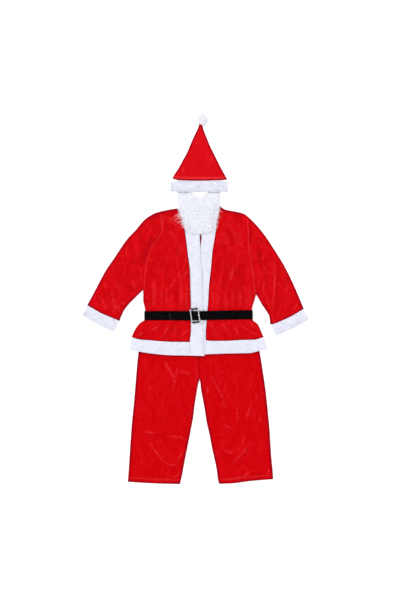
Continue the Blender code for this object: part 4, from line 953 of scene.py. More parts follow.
def tube_layers(solid, upper, lower, extra, wall=WALL, fold=FOLD_RADIUS, seam=SEAM_RADIUS, depth=0.0):
    """Outer points and middle heights of a flattened tube's two layers, fold in the first column."""
    layers = []
    for grid, way, added_height in ((upper, 1, extra), (lower, -1, 0.0)):
        bottom = held(grid, smoothed(solid.heights(grid, down=False))) + 0.2 * depth
        top = held(grid, smoothed(solid.heights(grid), 2)) - depth + added_height
        top = np.maximum(top, bottom + 2 * wall + LAYER_GAP)
        _, _, from_fold, from_seam = margins(grid)
        middle = (top + bottom) / 2
        outer = middle + way * (top - bottom) / 2 * rounded(from_fold, fold) * rounded(from_seam, seam)
        layers.append([raised(grid, outer), middle])
    ends = (layers[0][0][:, [0, -1]] + layers[1][0][:, [0, -1]]) / 2
    for layer in layers:
        layer[0][:, [0, -1]] = ends
    return layers


# Painted shade in dark lines beside an edge: how dark, and their width.
SEAM_LINE = (0.50, 0.0080)
OUTLINE = (0.64, 0.0150)
LEG_HEM_LINE = (0.60, 0.0100)
SHOULDER_LINE = (0.55, 0.0130)
BAND_SEAM_LINE = (0.60, 0.0080)
ARMHOLE_DARK, SIDE_DARK = 0.04, 0.50
CUFF_LINE = (0.75, 0.0090)
SLEEVE_TOP_LINE = (0.05, 0.0080)
HAT_SIDE_LINE = (0.80, 0.0110)
HAT_BASE_LINE = (0.95, 0.0080)


def line_of(distance, depth, width):
    """A line of painted shade beside an edge: full for a third of its width, then fading out."""
    return -depth * np.clip(1.5 * (1 - distance / width), 0, 1)


def tube_painted_light(upper, lower, painted_light, joined_above):
    """The painted light round a tube: the given values on the upper layer, and a line of painted shade at its
    outline on both.
    """
    lines = []
    for layer in (upper, lower):
        _, _, from_fold, from_seam = margins(layer[..., :2])
        line = line_of(np.minimum(from_fold, from_seam), *OUTLINE)
        if joined_above is not None and layer is upper:
            line = np.where(layer[..., 1] > joined_above, line_of(from_fold, *OUTLINE), line)
        lines.append(line)
    return np.concatenate([painted_light + lines[0], lines[1][:, -2:0:-1]], axis=1)


def tube(name, layers, wall, finish, painted_light=None, joined_above=None):
    """A flattened tube of cloth: the upper layer from fold to seam, then back underneath. Above the height
    `joined_above` its seam joins it to another, and has no line of painted shade."""
    (upper, upper_middle), (lower, lower_middle) = layers
    inner_layers = []
    for layer, middle, way in ((upper, upper_middle, 1), (lower, lower_middle, -1)):
        inner = layer.copy()
        inner[..., 2] = way * np.maximum(way * (layer[..., 2] - middle) - wall, 0.0001) + middle
        inner[:, [0, -1], :2] += 0.6 * wall * unit(layer[:, [3, -4], :2] - layer[:, [0, -1], :2])
        inner_layers.append(inner)
    inner_layers[0][:, [0, -1], 2] = upper[:, [0, -1], 2]
    outer, inner = (
        np.concatenate([one, other[:, -2:0:-1]], axis=1) for one, other in ((upper, lower), inner_layers)
    )
    count = outer.shape[0] * outer.shape[1]
    index = np.arange(count).reshape(outer.shape[:2])
    square = walls(looped(index))
    faces, points = [square, count + square[:, ::-1]], [outer.reshape(-1, 3), inner.reshape(-1, 3)]
    for row, beside, turned in ((0, 1, 1), (-1, -2, -1)):
        rim = (outer[row] + inner[row]) / 2
        rim[:, :2] += 0.3 * wall * unit(outer[row, :, :2] - outer[beside, :, :2])
        loop = sum(len(some) for some in points) + np.arange(len(rim))
        points.append(rim)
        for upper_loop, lower_loop in ((index[row], loop), (loop, index[row] + count)):
            faces.append(ring(upper_loop, lower_loop)[:, ::turned])
    made = mesh_of(name, np.concatenate(points), np.concatenate(faces), finish)
    if painted_light is not None:
        paint_light_on(made, tube_painted_light(upper, lower, painted_light, joined_above))
    return made, [upper, lower]


def panel(name, grid, top, wall, finish, rim=None, painted_light=None):
    """A single layer of cloth with a rounded edge; `rim` is the height of its edge, round the border."""
    places = border(*grid.shape[:2])
    wall = np.broadcast_to(wall, top.shape)
    inside = shrunk(grid, 0.004, *[PANEL_INSET] * 4)
    edge = np.array([(*grid[place], top[place] - wall[place] / 2) for place in places])
    if rim is not None:
        edge[:, 2] = np.minimum([rim[place] for place in places], edge[:, 2])
    made = shell(name, raised(inside, top), raised(inside, top - wall), edge, finish)
    if painted_light is not None:
        paint_light_on(made, painted_light)
    return made, [raised(inside, top)]


def cloth(made, layers, slot, rests_on, pile=()):
    """Puts a piece of cloth on the root body and hides its node; its flat cut is measured on its layers but
    not kept. What it lies on is not used.
    """
    placed(made, slot, made.name.removesuffix("_cloth"))
    down = max(arc_lengths(layers[0], 0)[-1].max(), arc_lengths(layers[-1], 0)[-1].max())
    across = sum(arc_lengths(layer, 1)[:, -1].max() for layer in layers)
    flat = round(across, 3), round(down, 3)
    area = min(round(sum(surface(layer) for layer in layers), 4), flat[0] * flat[1])
    list(pile)
    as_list(rests_on)


# Trousers

HEM_TURN, HEM_FLAT, HEM_GROOVE, HEM_GROOVE_WIDTH = 0.0180, 0.55, 0.0011, 0.0026
HEM_PLACES = (0, 0.0008, 0.0020, 0.0038, 0.0145, 0.0165, 0.0180, 0.0195, 0.0215)
LEG_WIDTH, LEG_SHOWN, SHOWN_BELOW = 0.290, 0.680, -0.270
# Paler just above the hem's stitches, and a painted shadow that the jacket's hem casts on the legs.
HEM_PALE, HEM_PALE_WIDTH, JACKET_SHADE, JACKET_SHADE_REACH = 0.40, 0.0030, 0.35, 0.008
LEG_MINORS, MINORS_TOP, LEG_MINOR_SHARE = 75, -0.33, 0.6
GATHER_RISE, GATHER_STEP, WAIST_FOLD = 0.0004, 0.0135, 0.0016
STITCH_LENGTH, STITCH_STEP, STITCH_WIDTH = 0.0028, 0.0042, 0.0006


def leg_rows(length):
    """Shares down a leg from its hem, close where it shows and at the turned-up hem."""
    places = [*HEM_PLACES, *np.arange(0.0070, 0.0140, 0.0035), *np.arange(0.0255, LEG_SHOWN, CELL)]
    places += list(np.linspace(LEG_SHOWN, length, 22))
    return np.array(sorted(set(np.round(places, 5)))) / length


def leg_grids(outer_table, inner_table, hem):
    """Grids of a leg's two layers, from its hem to the waist and from its outer side inwards."""
    feet = outer_table[0][0], inner_table[0][0]
    share = leg_rows(WAIST_SEAM - feet[0])
    outer_y, inner_y = (foot + share * (WAIST_SEAM - foot) for foot in feet)
    inner_y[np.abs(inner_y - CROTCH).argmin()] = CROTCH
    outer, inner = edge_at(outer_table, outer_y), edge_at(inner_table, inner_y)
    grids = []
    for cell in (CELL, FLOOR_CELL):
        lines = edged(LEG_WIDTH, cell)
        waist_row = outer[-1] + lines[:, None] * (inner[-1] - outer[-1])
        grids.append(coons(along(hem, lines), waist_row, outer, inner))
    return grids


def leg_relief(grid, creases, seed):
    """What is added over a leg's solid: creases, the turned-up hem, and pulls at its seams."""
    from_hem, _, _, from_seam = margins(grid)
    relief = creased(grid, creases) + undulation(grid, seed)
    relief = relief * (1 - HEM_FLAT * np.clip(1 - from_hem / HEM_TURN, 0, 1) ** 0.25)
    relief = relief - HEM_GROOVE * bell(from_hem - HEM_TURN, HEM_GROOVE_WIDTH)
    relief = relief + puckers(from_hem - HEM_TURN, grid[..., 0], seed, *HEM_PULLS)
    relief = relief + puckers(from_seam, grid[..., 1], seed + 2, *LEG_SEAM_PULLS)
    return relief * np.clip((SHOWN_BELOW - grid[..., 1]) / 0.05, 0, 1)


def leg_painted_light(grid, creases):
    """Painted highlights along the creases, paler just above the hem's stitches, painted shade at the hem's
    edge and a painted shadow below the jacket.
    """
    from_hem = margins(grid)[0]
    painted_light = creased(grid, creases, crest_only=True) + line_of(from_hem, *LEG_HEM_LINE)
    painted_light = painted_light + HEM_PALE * bell(from_hem - HEM_TURN - HEM_PALE_WIDTH, HEM_PALE_WIDTH)
    hem = np.array(HEM_RIGHT + HEM_LEFT)
    below_jacket = np.maximum(np.interp(grid[..., 0], hem[:, 0], hem[:, 1]) - grid[..., 1], 0)
    return painted_light - JACKET_SHADE * np.exp(-below_jacket / JACKET_SHADE_REACH)


def hem_stitches(name, points):
    """The line of stitches that holds a leg's turned-up hem."""
    columns = zip(arc_lengths(points, 0).T, points.transpose(1, 2, 0))
    line = np.array([[np.interp(HEM_TURN, run, part) for part in parts] for run, parts in columns])[2:-2]
    run = run_along(line)
    starts = np.arange(0.003, run[-1] - 0.006, STITCH_STEP)
    places = starts[:, None] + np.array([0.0, 0.15, 0.5, 0.85, 1.0]) * STITCH_LENGTH
    paths = np.stack([np.interp(places, run, line[:, k]) for k in range(3)], axis=2)
    paths[..., 2] += STITCH_WIDTH * np.array([0.0, 0.35, 0.5, 0.35, 0.0])
    widths = np.broadcast_to(STITCH_WIDTH * np.array([0.4, 0.9, 1.0, 0.9, 0.4]), paths.shape[:2])
    return placed(strands(name, paths, widths, thread_red), "velour_red")


def trouser_leg(side, outer_table, inner_table, hem, creases, seed):
    """A leg and the stitches of its hem."""
    node = "trouser_leg_" + side
    low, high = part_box(node)
    minor = minor_creases(seed, low, (high[0], MINORS_TOP), LEG_MINORS)
    upper, lower = leg_grids(outer_table, inner_table, hem)
    layers = tube_layers(Solid(node), upper, lower, leg_relief(upper, creases + minor, seed))
    painted_light = leg_painted_light(upper, creases) + LEG_MINOR_SHARE * MINOR_PAINTED_LIGHT * creased(upper, minor, crest_only=True)
    leg = tube(node + "_cloth", layers, WALL, trouser_velour, painted_light, CROTCH)
    cloth(*leg, "velour_red", ["floor"], [hem_stitches(node + "_stitches", layers[0][0])])


def waistband():
    """The gathered band, drawn in a little towards its top."""
    low, high = (np.array(corner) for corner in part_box("trouser_waistband"))
    size = high - low
    lines, rows = edged(size[0], 0.010), edged(size[1], 0.005)[:, None]
    across = (low[0] + high[0]) / 2 + (lines - 0.5) * (size[0] - 2 * WAIST_DRAWN_IN * rows)
    grid = np.stack(np.broadcast_arrays(across, low[1] + rows * size[1]), axis=2)
    gathered = GATHER_RISE * np.sin(2 * math.pi * grid[..., 0] / GATHER_STEP)
    solid = Solid("trouser_waistband")
    layers = tube_layers(solid, grid, grid, gathered, fold=WAIST_FOLD, seam=WAIST_FOLD)
    cloth(*tube("trouser_waistband_cloth", layers, WALL, trouser_velour), "velour_red", ["floor"])


def trousers():
    """Both legs and the waistband."""
    trouser_leg("right", OUTER_LEG_RIGHT, INNER_LEG_RIGHT, LEG_HEM_RIGHT, LEG_RIGHT_CREASES, 3)
    trouser_leg("left", OUTER_LEG_LEFT, INNER_LEG_LEFT, LEG_HEM_LEFT, LEG_LEFT_CREASES, 4)
    waistband()


# Plush pieces

LOWEST, LEAST_HEIGHT = 0.0005, 0.0012
FLEECE_INSET, SEAM_INSET, SEWN_OVERLAP, INSET_REACH = 0.0018, 0.0003, 0.0008, 0.014
LAP, WIDE_LAP, LAP_SINK = 0.0040, 0.0180, 0.0020
PILE_DEPTH, PILE_LENGTH, PILE_WIDTH = 0.0016, 0.0052, 0.00085
PUFF, PUFF_WIDTH, PUFF_LENGTH, PUFF_PLACES = 0.0042, 0.0150, 0.0050, (0.0265, -0.0285)
PLUSH_FOLD, PLUSH_SEAM = 0.0050, 0.0035
FINE_LUMPS, PANEL_LUMPS, TUBE_LUMPS = 0.00055, 0.0006, 0.0007
SWIRL_SIZE, SWIRL_LEAN = 0.021, 0.9
SEWN_EDGE, EDGE_ROUND, EDGE_SHARE, LAP_SHARE = 0.0030, 0.0040, 0.35, 0.15

# Fleece pieces: number of fibres in the pile, and the seed.
FLEECE_PIECES = {
    "hem_band_front_left": (5000, 32), "placket_left": (12000, 33), "hem_band_front_right": (5000, 42),
    "placket_right": (12000, 43), "hem_band_back": (3000, 51), "collar_band": (2200, 52),
    "cuff_right": (3200, 64), "cuff_left": (3200, 74), "hat_band": (5200, 84),
}
PILE_LEAN, UNDER_LEAN, UNDER_SHORT, UNDER_WAY = 0.75, 1.5, 0.8, -0.25


def fur(node, seed, patches):
    """One piece of pile over patches: points, count, length, how far it leans, and up or down."""
    rng = np.random.default_rng(SEED + seed)
    roots, ways, lengths, widths = [], [], [], []
    for points, count, length, lean, sign in patches:
        at, facing = scattered(points, count, rng)
        facing = facing * np.array([1, 1, sign])
        angle = 2 * math.pi * rng.random(count)
        sideways = np.stack([np.cos(angle), np.sin(angle), np.zeros(count)], axis=1)
        sideways *= rng.random((count, 1)) ** 0.5
        swirl = [ripple(at, SWIRL_SIZE, 11), ripple(at, SWIRL_SIZE, 12), np.zeros(count)]
        roots.append(at - 0.0003 * facing)
        ways.append(facing + lean * sideways + SWIRL_LEAN * lean * np.stack(swirl, axis=1))
        lengths.append(length * (0.7 + 0.5 * rng.random(count)))
        widths.append(PILE_WIDTH * (0.8 + 0.4 * rng.random(count)))
    roots, ways, lengths, widths = (np.concatenate(parts) for parts in (roots, ways, lengths, widths))
    roots[:, 2] = np.maximum(roots[:, 2], LOWEST + widths)
    tips = roots + unit(ways) * lengths[:, None]
    tips[:, 2] = np.maximum(tips[:, 2], LOWEST)
    return placed(spikes(node + "_pile", roots, tips, widths, fleece_pile), "fleece_white")


def lumpy(grid, seed, rise):
    """The fleece's fine lumps and its larger ones, of this rise."""
    return FINE_LUMPS * ripple(grid, 0.010, seed) + rise * ripple(grid, 0.027, seed + 1)


def puffed(grid):
    """How far the fleece swells up in the buckle's window, above and below the belt."""
    puff = np.zeros(grid.shape[:-1])
    for offset in PUFF_PLACES:
        across = (grid[..., 0] - BUCKLE_X + offset * math.tan(BUCKLE_TURN)) / PUFF_WIDTH
        puff += PUFF * np.exp(-(across**4) - ((grid[..., 1] - BUCKLE_Y - offset) / PUFF_LENGTH) ** 2)
    return puff


def fleece_panel(node, grid, rests_on, joined_rows=None, joined_end=False, lap=LAP):
    """A strip of fleece. Where it is sewn to more fleece its edge is left full: the rows of its first
    column in `joined_rows`, or all of its last column; else that column's edge slopes over `lap`."""
    solid = Solid(node)
    count, seed = FLEECE_PIECES[node]
    first = np.full((len(grid), 1), FLEECE_INSET)
    if joined_rows is not None:
        first = np.where(joined_rows[:, None], -SEWN_OVERLAP, SEAM_INSET)
    last_row, last = (SEAM_INSET, -SEWN_OVERLAP) if joined_end else (FLEECE_INSET, SEAM_INSET)
    grid = shrunk(grid, INSET_REACH, FLEECE_INSET, last_row, first, last)
    low = solid.heights(grid, down=False) + 0.0002
    lumps = lumpy(grid, seed, PANEL_LUMPS)
    height = np.maximum(smoothed(solid.heights(grid), 2) - PILE_DEPTH + lumps, low + LEAST_HEIGHT)
    if node == "placket_right":
        height = height + puffed(grid)
    down, up, right, left = margins(grid)
    if joined_rows is not None:
        right = np.where(joined_rows[:, None], NO_LIMIT, SEWN_EDGE + right)
    if joined_end:
        up = SEWN_EDGE + up
    slope = np.ones(left.shape) if joined_end else np.clip(left / lap, 0, 1)
    edge = EDGE_SHARE + (1 - EDGE_SHARE) * rounded(np.minimum.reduce([down, up, right]), EDGE_ROUND)
    height = low + (height - low) * edge * (LAP_SHARE + (1 - LAP_SHARE) * slope)
    sunk = LAP_SINK * (1 - slope) if lap == WIDE_LAP else 0.0
    low, height = low - sunk, height - sunk
    made = panel(node + "_cloth", grid, height, height - low, fleece)
    pile = fur(node, seed, [(raised(grid, height), count, PILE_LENGTH, PILE_LEAN, 1)])
    cloth(*made, "fleece_white", rests_on, [pile])


def fleece_tube(node, grids, rests_on, first_row=FLEECE_INSET, foot_drop=0.0):
    """A flattened tube of fleece, its foot rounded off by `foot_drop`."""
    count, seed = FLEECE_PIECES[node]
    insets = first_row, FLEECE_INSET, FLEECE_INSET, FLEECE_INSET
    upper, lower = (shrunk(grid, INSET_REACH, *insets) for grid in grids)
    lumps = lumpy(upper, seed, TUBE_LUMPS) - foot_drop * (1 - rounded(margins(upper)[0], 0.012))
    layers = tube_layers(Solid(node), upper, lower, lumps, PLUSH_WALL, PLUSH_FOLD, PLUSH_SEAM, PILE_DEPTH)
    made = tube(node + "_cloth", layers, PLUSH_WALL, fleece)
    above = layers[0][0], count, PILE_LENGTH, PILE_LEAN, 1
    under = layers[1][0], count // 3, UNDER_SHORT * PILE_LENGTH, UNDER_LEAN, UNDER_WAY
    cloth(*made, "fleece_white", rests_on, [fur(node, seed, [above, under])])


# Jacket

SEAM_DIP, SEAM_WIDTH = 0.0006, 0.0032
BACK_CELL, PLACKET_CELL, PLACKET_ROWS = 0.011, 0.0048, 140
FRONT_WIDTH, SLEEVE_LENGTH, SLEEVE_WIDTH = 0.240, 0.590, 0.200
BAND_WIDTH, PLACKET_ACROSS, CUFF_WIDTH, COLLAR_WIDTH = 0.068, 0.066, 0.061, 0.055
HALF_HEM, SHOULDER_LENGTHS, NECK_LENGTH = 0.290, (0.093, 0.155), 0.217
# The first value is painted shade over the whole back.
BACK_PAINTED_SHADE, FLOOR_SEAM = -0.70, 0.0030
PRESSED_WIDTH, PRESSED_DEPTH, PRESSED_FLAT = 0.024, 0.0016, 0.75
# Painted light along the gathers, and a painted highlight along the armhole's seam with its offset and width.
GATHER_PAINTED_LIGHT, ARMHOLE_HIGHLIGHT, ARMHOLE_OFFSET, ARMHOLE_WIDTH = 0.95, 0.42, 0.005, 0.0034
FRONT_MINORS, SLEEVE_MINORS = 95, 110


def body_edge(side, armhole, cell):
    """Points from the hem seam up a side and round its armhole to the shoulder."""
    arm = np.linalg.norm(np.diff(np.array(armhole), axis=0), axis=1).sum()
    up_side = edge_by(side, fractions(side[-1][0] - side[0][0], cell))
    return np.concatenate([up_side, along(armhole, fractions(arm, cell)[::-1])[1:]])


def jacket_back():
    """The back under the fronts, from its hem seam to the neckline."""
    right = body_edge(SIDE_RIGHT, ARMHOLE_RIGHT, BACK_CELL)
    left = body_edge(SIDE_LEFT, ARMHOLE_LEFT, BACK_CELL)
    rows = min(len(right), len(left))
    half = fractions(HALF_HEM, BACK_CELL)
    seam = np.concatenate([along(HEM_SEAM_RIGHT, half), along(HEM_SEAM_LEFT, half)])
    right_shoulder, left_shoulder = (fractions(length, BACK_CELL) for length in SHOULDER_LENGTHS)
    top = np.concatenate([
        along(SHOULDER_RIGHT, right_shoulder)[:-1], along(NECKLINE, fractions(NECK_LENGTH, BACK_CELL)),
        along(SHOULDER_LEFT, left_shoulder)[1:],
    ])
    columns = max(len(seam), len(top))
    grid = coons(evened(seam, columns), evened(top, columns), evened(right, rows), evened(left, rows))
    solid = Solid("jacket_back")
    heights = solid.heights(grid)
    relief = undulation(grid, 21) * 0.6 + creased(grid, BACK_CREASES)
    height = np.maximum(smoothed(heights) + relief, solid.heights(grid, down=False) + WALL + 0.0002)
    height = np.minimum(height, heights + 0.0006)
    # The back is painted darker all over: painted shade for the shadow it lies in between the fronts.
    made = panel("jacket_back_cloth", grid, height, WALL, jacket_velour, painted_light=np.full(height.shape, BACK_PAINTED_SHADE))
    cloth(*made, "velour_red", ["trouser_leg_right", "trouser_leg_left", "floor"])


def placket_grid(inner, widths, toward):
    """A strip beside a front's inner edge, as wide as its table says, turned outwards."""
    inner = evened(inner, PLACKET_ROWS)
    tangent = unit(np.gradient(inner, axis=0))
    for _ in range(12):
        averaged = tangent[:-2] + tangent[1:-1] + tangent[2:]
        tangent = unit(np.concatenate([tangent[:1], averaged, tangent[-1:]]))
    normal = toward * np.stack([tangent[:, 1], -tangent[:, 0]], axis=1)
    across = edge_at(widths, inner[:, 1])[:, :1] * edged(PLACKET_ACROSS, PLACKET_CELL)
    return inner[:, None] + across[..., None] * normal[:, None]


def front_grids(side, armhole, shoulder, placket, hem_seam, hem, seam_y, right):
    """Grids of a front, its hem band and its placket, columns from the side seam inwards."""
    edge = body_edge(side, armhole, CELL)
    share = (edge[:, 1] - edge[0, 1]) / (edge[-1, 1] - edge[0, 1])
    placket_edge = edge_at(placket, seam_y + share * (placket[-1][0] - seam_y))
    lines = edged(FRONT_WIDTH, CELL)
    order = lines if right else 1 - lines
    seam, foot = along(hem_seam, order), along(hem, order)
    front = coons(seam, along(shoulder, order), edge, placket_edge)
    steps = (1 - edged(BAND_WIDTH, PLACKET_CELL))[:, None]
    side_edge, inner_edge = (foot[end] + steps * (seam[end] - foot[end]) for end in (0, -1))
    band = coons(seam, foot, side_edge, inner_edge)[::-1]
    widths = PLACKET_WIDTH_RIGHT if right else PLACKET_WIDTH_LEFT
    placket_strip = placket_grid(np.concatenate([band[:-1, -1], front[:, -1]]), widths, 1 if right else -1)
    return front, band, placket_strip


def front_relief(grid, creases, seed):
    """Creases, gathers and seams of a front, pressed flat under the belt."""
    from_foot, _, from_side, from_placket = margins(grid)
    relief = creased(grid, creases) + creased(grid, GATHER_CREASES) + undulation(grid, seed)
    relief = relief + puckers(from_placket, grid[..., 1], seed, *PLACKET_PULLS)
    relief = relief + puckers(from_foot, grid[..., 0], seed + 1, *HEM_BAND_PULLS)
    relief = relief + puckers(from_side, grid[..., 1], seed + 2, *SIDE_PULLS)
    pressed = np.exp(-(((grid[..., 1] - BELT_Y - BELT_SLOPE * grid[..., 0]) / PRESSED_WIDTH) ** 4))
    relief = relief * (1 - PRESSED_FLAT * pressed) - PRESSED_DEPTH * pressed
    for distance in (from_foot, from_side, from_placket):
        relief = relief - SEAM_DIP * bell(distance, SEAM_WIDTH)
    return relief


def front_painted_light(grid, creases, minor, at_armhole):
    """Painted highlights along creases and the armhole's seam, painted shade at the other seams, and painted
    shade and highlights in the soft places.
    """
    from_foot, from_shoulder, from_side, from_placket = margins(grid)
    painted_light = creased(grid, creases, crest_only=True) + line_of(from_shoulder, *SHOULDER_LINE)
    painted_light = painted_light + GATHER_PAINTED_LIGHT * smoothed(creased(grid, GATHER_CREASES, crest_only=True), 2)
    painted_light = painted_light + MINOR_PAINTED_LIGHT * creased(grid, minor, crest_only=True) + shaded(grid, FRONT_SHADES)
    painted_light = painted_light + np.where(at_armhole, ARMHOLE_HIGHLIGHT * bell(from_side - ARMHOLE_OFFSET, ARMHOLE_WIDTH), 0.0)
    painted_light = painted_light + line_of(from_foot, *BAND_SEAM_LINE)
    painted_light = painted_light + line_of(from_side, np.where(at_armhole, ARMHOLE_DARK, SIDE_DARK), SEAM_LINE[1])
    return painted_light + line_of(from_placket, *SEAM_LINE)


def jacket_front(side, grid, creases, seed, armpit_y):
    """A front, its side edge let down to the back below the armhole."""
    node = "jacket_front_" + side
    minor = minor_creases(seed, *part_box(node), FRONT_MINORS)
    solid, behind = Solid(node), Solid("jacket_back")
    low = solid.heights(grid, down=False) + 0.0003
    height = np.maximum(smoothed(solid.heights(grid), 3) + front_relief(grid, creases + minor, seed), low)
    rim = np.full(height.shape, NO_LIMIT)
    side_edge = grid[:, :1]
    rim[:, :1] = 0.0002 + np.where(np.isnan(behind.read(side_edge)), FLOOR_SEAM, behind.heights(grid)[:, :1])
    at_armhole = grid[..., 1] > armpit_y
    rim[at_armhole] = NO_LIMIT
    painted_light = front_painted_light(grid, creases, minor, at_armhole)
    cloth(*panel(node + "_cloth", grid, height, WALL, jacket_velour, rim, painted_light), "velour_red", ["jacket_back"])


def front_side(side, tables, seam_y, creases, seed, lap):
    """A front with its hem band and its placket."""
    front, band, placket = front_grids(*tables, seam_y, side == "right")
    jacket_front(side, front, creases, seed, tables[0][-1][0])
    under = ["jacket_back", "hem_band_back"]
    fleece_panel("hem_band_front_" + side, band, under, joined_end=True)
    beside_band = placket[:, 0, 1] < seam_y
    fleece_panel("placket_" + side, placket, ["jacket_back"], beside_band, lap=lap)


def jacket():
    """The back, the fronts with their trim, the band across the back's hem and the collar."""
    jacket_back()
    tables = SIDE_LEFT, ARMHOLE_LEFT, SHOULDER_LEFT, PLACKET_LEFT, HEM_SEAM_LEFT, HEM_LEFT
    front_side("left", tables, HEM_SEAM_LEFT[0][1], FRONT_LEFT_CREASES, 31, LAP)
    tables = SIDE_RIGHT, ARMHOLE_RIGHT, SHOULDER_RIGHT, PLACKET_RIGHT, HEM_SEAM_RIGHT, HEM_RIGHT
    front_side("right", tables, HEM_SEAM_RIGHT[-1][1], FRONT_RIGHT_CREASES, 41, WIDE_LAP)
    half = fractions(0.295, 0.012)
    hem = np.concatenate([along(HEM_RIGHT, half), along(HEM_LEFT, half)])
    seam = np.concatenate([along(HEM_SEAM_RIGHT, half), along(HEM_SEAM_LEFT, half)])
    legs = ["trouser_leg_right", "trouser_leg_left"]
    fleece_panel("hem_band_back", strip(hem, seam, BAND_WIDTH, BAND_CELL), legs)
    half = edged(NECK_LENGTH, BAND_CELL)
    collar = strip(along(NECKLINE, half), along(COLLAR_TOP, half), COLLAR_WIDTH, BAND_CELL)
    fleece_panel("collar_band", collar, ["floor"])


def sleeve(side, upper_edge, under_edge, armhole, seam, cuff, creases, shades, seed):
    """A sleeve and its cuff, folded along the outer arm."""
    down = fractions(SLEEVE_LENGTH, CELL)
    outer, under = along(upper_edge, down), along(under_edge, down)
    grids, cuffs = [], []
    for cell in (CELL, UNDER_CELL):
        lines = edged(SLEEVE_WIDTH, cell)
        cuff_seam = along(seam, lines)
        grids.append(coons(along(armhole, lines), cuff_seam, outer, under))
        cuffs.append(strip(cuff_seam, along(cuff, lines), CUFF_WIDTH, TRIM_CELL))
    node = "sleeve_" + side
    minor = minor_creases(seed, *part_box(node), SLEEVE_MINORS)
    upper, lower = grids
    from_armhole, from_cuff, _, _ = margins(upper)
    relief = creased(upper, creases + minor) + undulation(upper, seed)
    relief = relief + puckers(from_cuff, upper[..., 0], seed, *CUFF_PULLS)
    relief = relief + puckers(from_armhole, upper[..., 1], seed + 1, *ARMHOLE_PULLS)
    relief = relief - SEAM_DIP * bell(from_cuff, SEAM_WIDTH)
    layers = tube_layers(Solid(node), upper, lower, relief)
    # Painted light: highlights along the creases, painted shade at the cuff's seam, in the soft places and
    # faintly below the armhole.
    painted_light = creased(upper, creases, crest_only=True) + line_of(from_cuff, *CUFF_LINE)
    painted_light = painted_light + MINOR_PAINTED_LIGHT * creased(upper, minor, crest_only=True) + shaded(upper, shades)
    painted_light = painted_light + line_of(from_armhole, *SLEEVE_TOP_LINE)
    cloth(*tube(node + "_cloth", layers, WALL, jacket_velour, painted_light), "velour_red", ["floor"])
    fleece_tube("cuff_" + side, cuffs, ["floor"], first_row=SEAM_INSET)


def sleeves():
    """Both sleeves with their cuffs."""
    tables = OUTER_ARM_RIGHT, UNDERARM_RIGHT, ARMHOLE_RIGHT, CUFF_SEAM_RIGHT, CUFF_RIGHT
    sleeve("right", *tables, SLEEVE_RIGHT_CREASES, SLEEVE_RIGHT_SHADES, 61)
    tables = OUTER_ARM_LEFT, UNDERARM_LEFT, ARMHOLE_LEFT, CUFF_SEAM_LEFT, CUFF_LEFT
    sleeve("left", *tables, SLEEVE_LEFT_CREASES, SLEEVE_LEFT_SHADES, 71)


# Hat

HAT_CELL, HAT_WIDTH, HAT_LENGTH = 0.0042, 0.270, 0.280
HAT_BAND_WIDTH, HAT_BAND_ACROSS, HAT_BAND_DROP = 0.056, 0.295, 0.0042
HAT_RIM, HAT_EDGE_DROP, HAT_LOWEST, HAT_BACK_TOP = 0.0020, 0.0030, 0.0030, 0.0014
HAT_DIP, HAT_DIP_WIDTH, HAT_PALE, HAT_PALE_AT = 0.0010, 0.0035, 0.6, 0.0125


def hat_cone():
    """The grid of the cone, from its base to its tip."""
    lines, rows = edged(HAT_WIDTH, HAT_CELL), fractions(HAT_LENGTH, HAT_CELL)
    right, left = edge_by(HAT_RIGHT, rows), edge_by(HAT_LEFT, rows)
    tip = right[-1] + lines[:, None] * (left[-1] - right[-1])
    return coons(along(HAT_BASE, lines), tip, right, left)


def hat():
    """The cone's front and back, and its band."""
    cone = hat_cone()
    solid = Solid("hat_front")
    from_base, _, from_right, from_left = margins(cone)
    from_side = np.minimum(from_right, from_left)
    relief = creased(cone, HAT_CREASES) + undulation(cone, 81) - HAT_DIP * bell(from_base, HAT_DIP_WIDTH)
    relief = relief + puckers(from_side, cone[..., 1], 83, *HAT_PULLS)
    height = smoothed(solid.heights(cone), 2) + relief * rounded(from_side, 0.012)
    height = np.maximum(height, solid.heights(cone, down=False) + WALL - 0.0004)
    height = np.maximum(height - HAT_EDGE_DROP * (1 - rounded(from_side, 0.0050)), HAT_LOWEST)
    rim = np.full(height.shape, NO_LIMIT)
    rim[:, [0, -1]] = HAT_RIM
    # Painted light: highlights along the creases, painted shade along the sides and the base, and a painted
    # highlight in a line above the band.
    painted_light = creased(cone, HAT_CREASES, crest_only=True) + line_of(from_side, *HAT_SIDE_LINE)
    painted_light = painted_light + line_of(from_base, *HAT_BASE_LINE)
    painted_light = painted_light + HAT_PALE * bell(from_base - HAT_PALE_AT, HAT_DIP_WIDTH)
    cloth(*panel("hat_front_cloth", cone, height, WALL, hat_velour, rim, painted_light), "velour_red", ["hat_back"])
    coarse = cone[np.ix_(*([*range(0, count - 1, 3), count - 1] for count in cone.shape[:2]))]
    under = np.full(coarse.shape[:2], HAT_BACK_TOP)
    cloth(*panel("hat_back_cloth", coarse, under, WALL, hat_velour), "velour_red", ["floor"])
    bands = []
    for cell in (TRIM_CELL, UNDER_CELL):
        lines = edged(HAT_BAND_ACROSS, cell)
        foot, head = along(HAT_BAND_FOOT, lines), along(HAT_BAND_TOP, lines)
        bands.append(strip(foot, head, HAT_BAND_WIDTH, TRIM_CELL))
    fleece_tube("hat_band", bands, ["beard", "floor"], foot_drop=HAT_BAND_DROP)


# Pompom

POMPOM_CORE, POMPOM_FIBRES, YARN_WIDTH = 0.87, 4200, 0.00095
YARN_CLUMP, YARN_BEND, YARN_ROOT = 0.45, 0.10, 0.94
HAT_TIP_REACH, HAT_TIP_HALF = 0.001, 0.0085


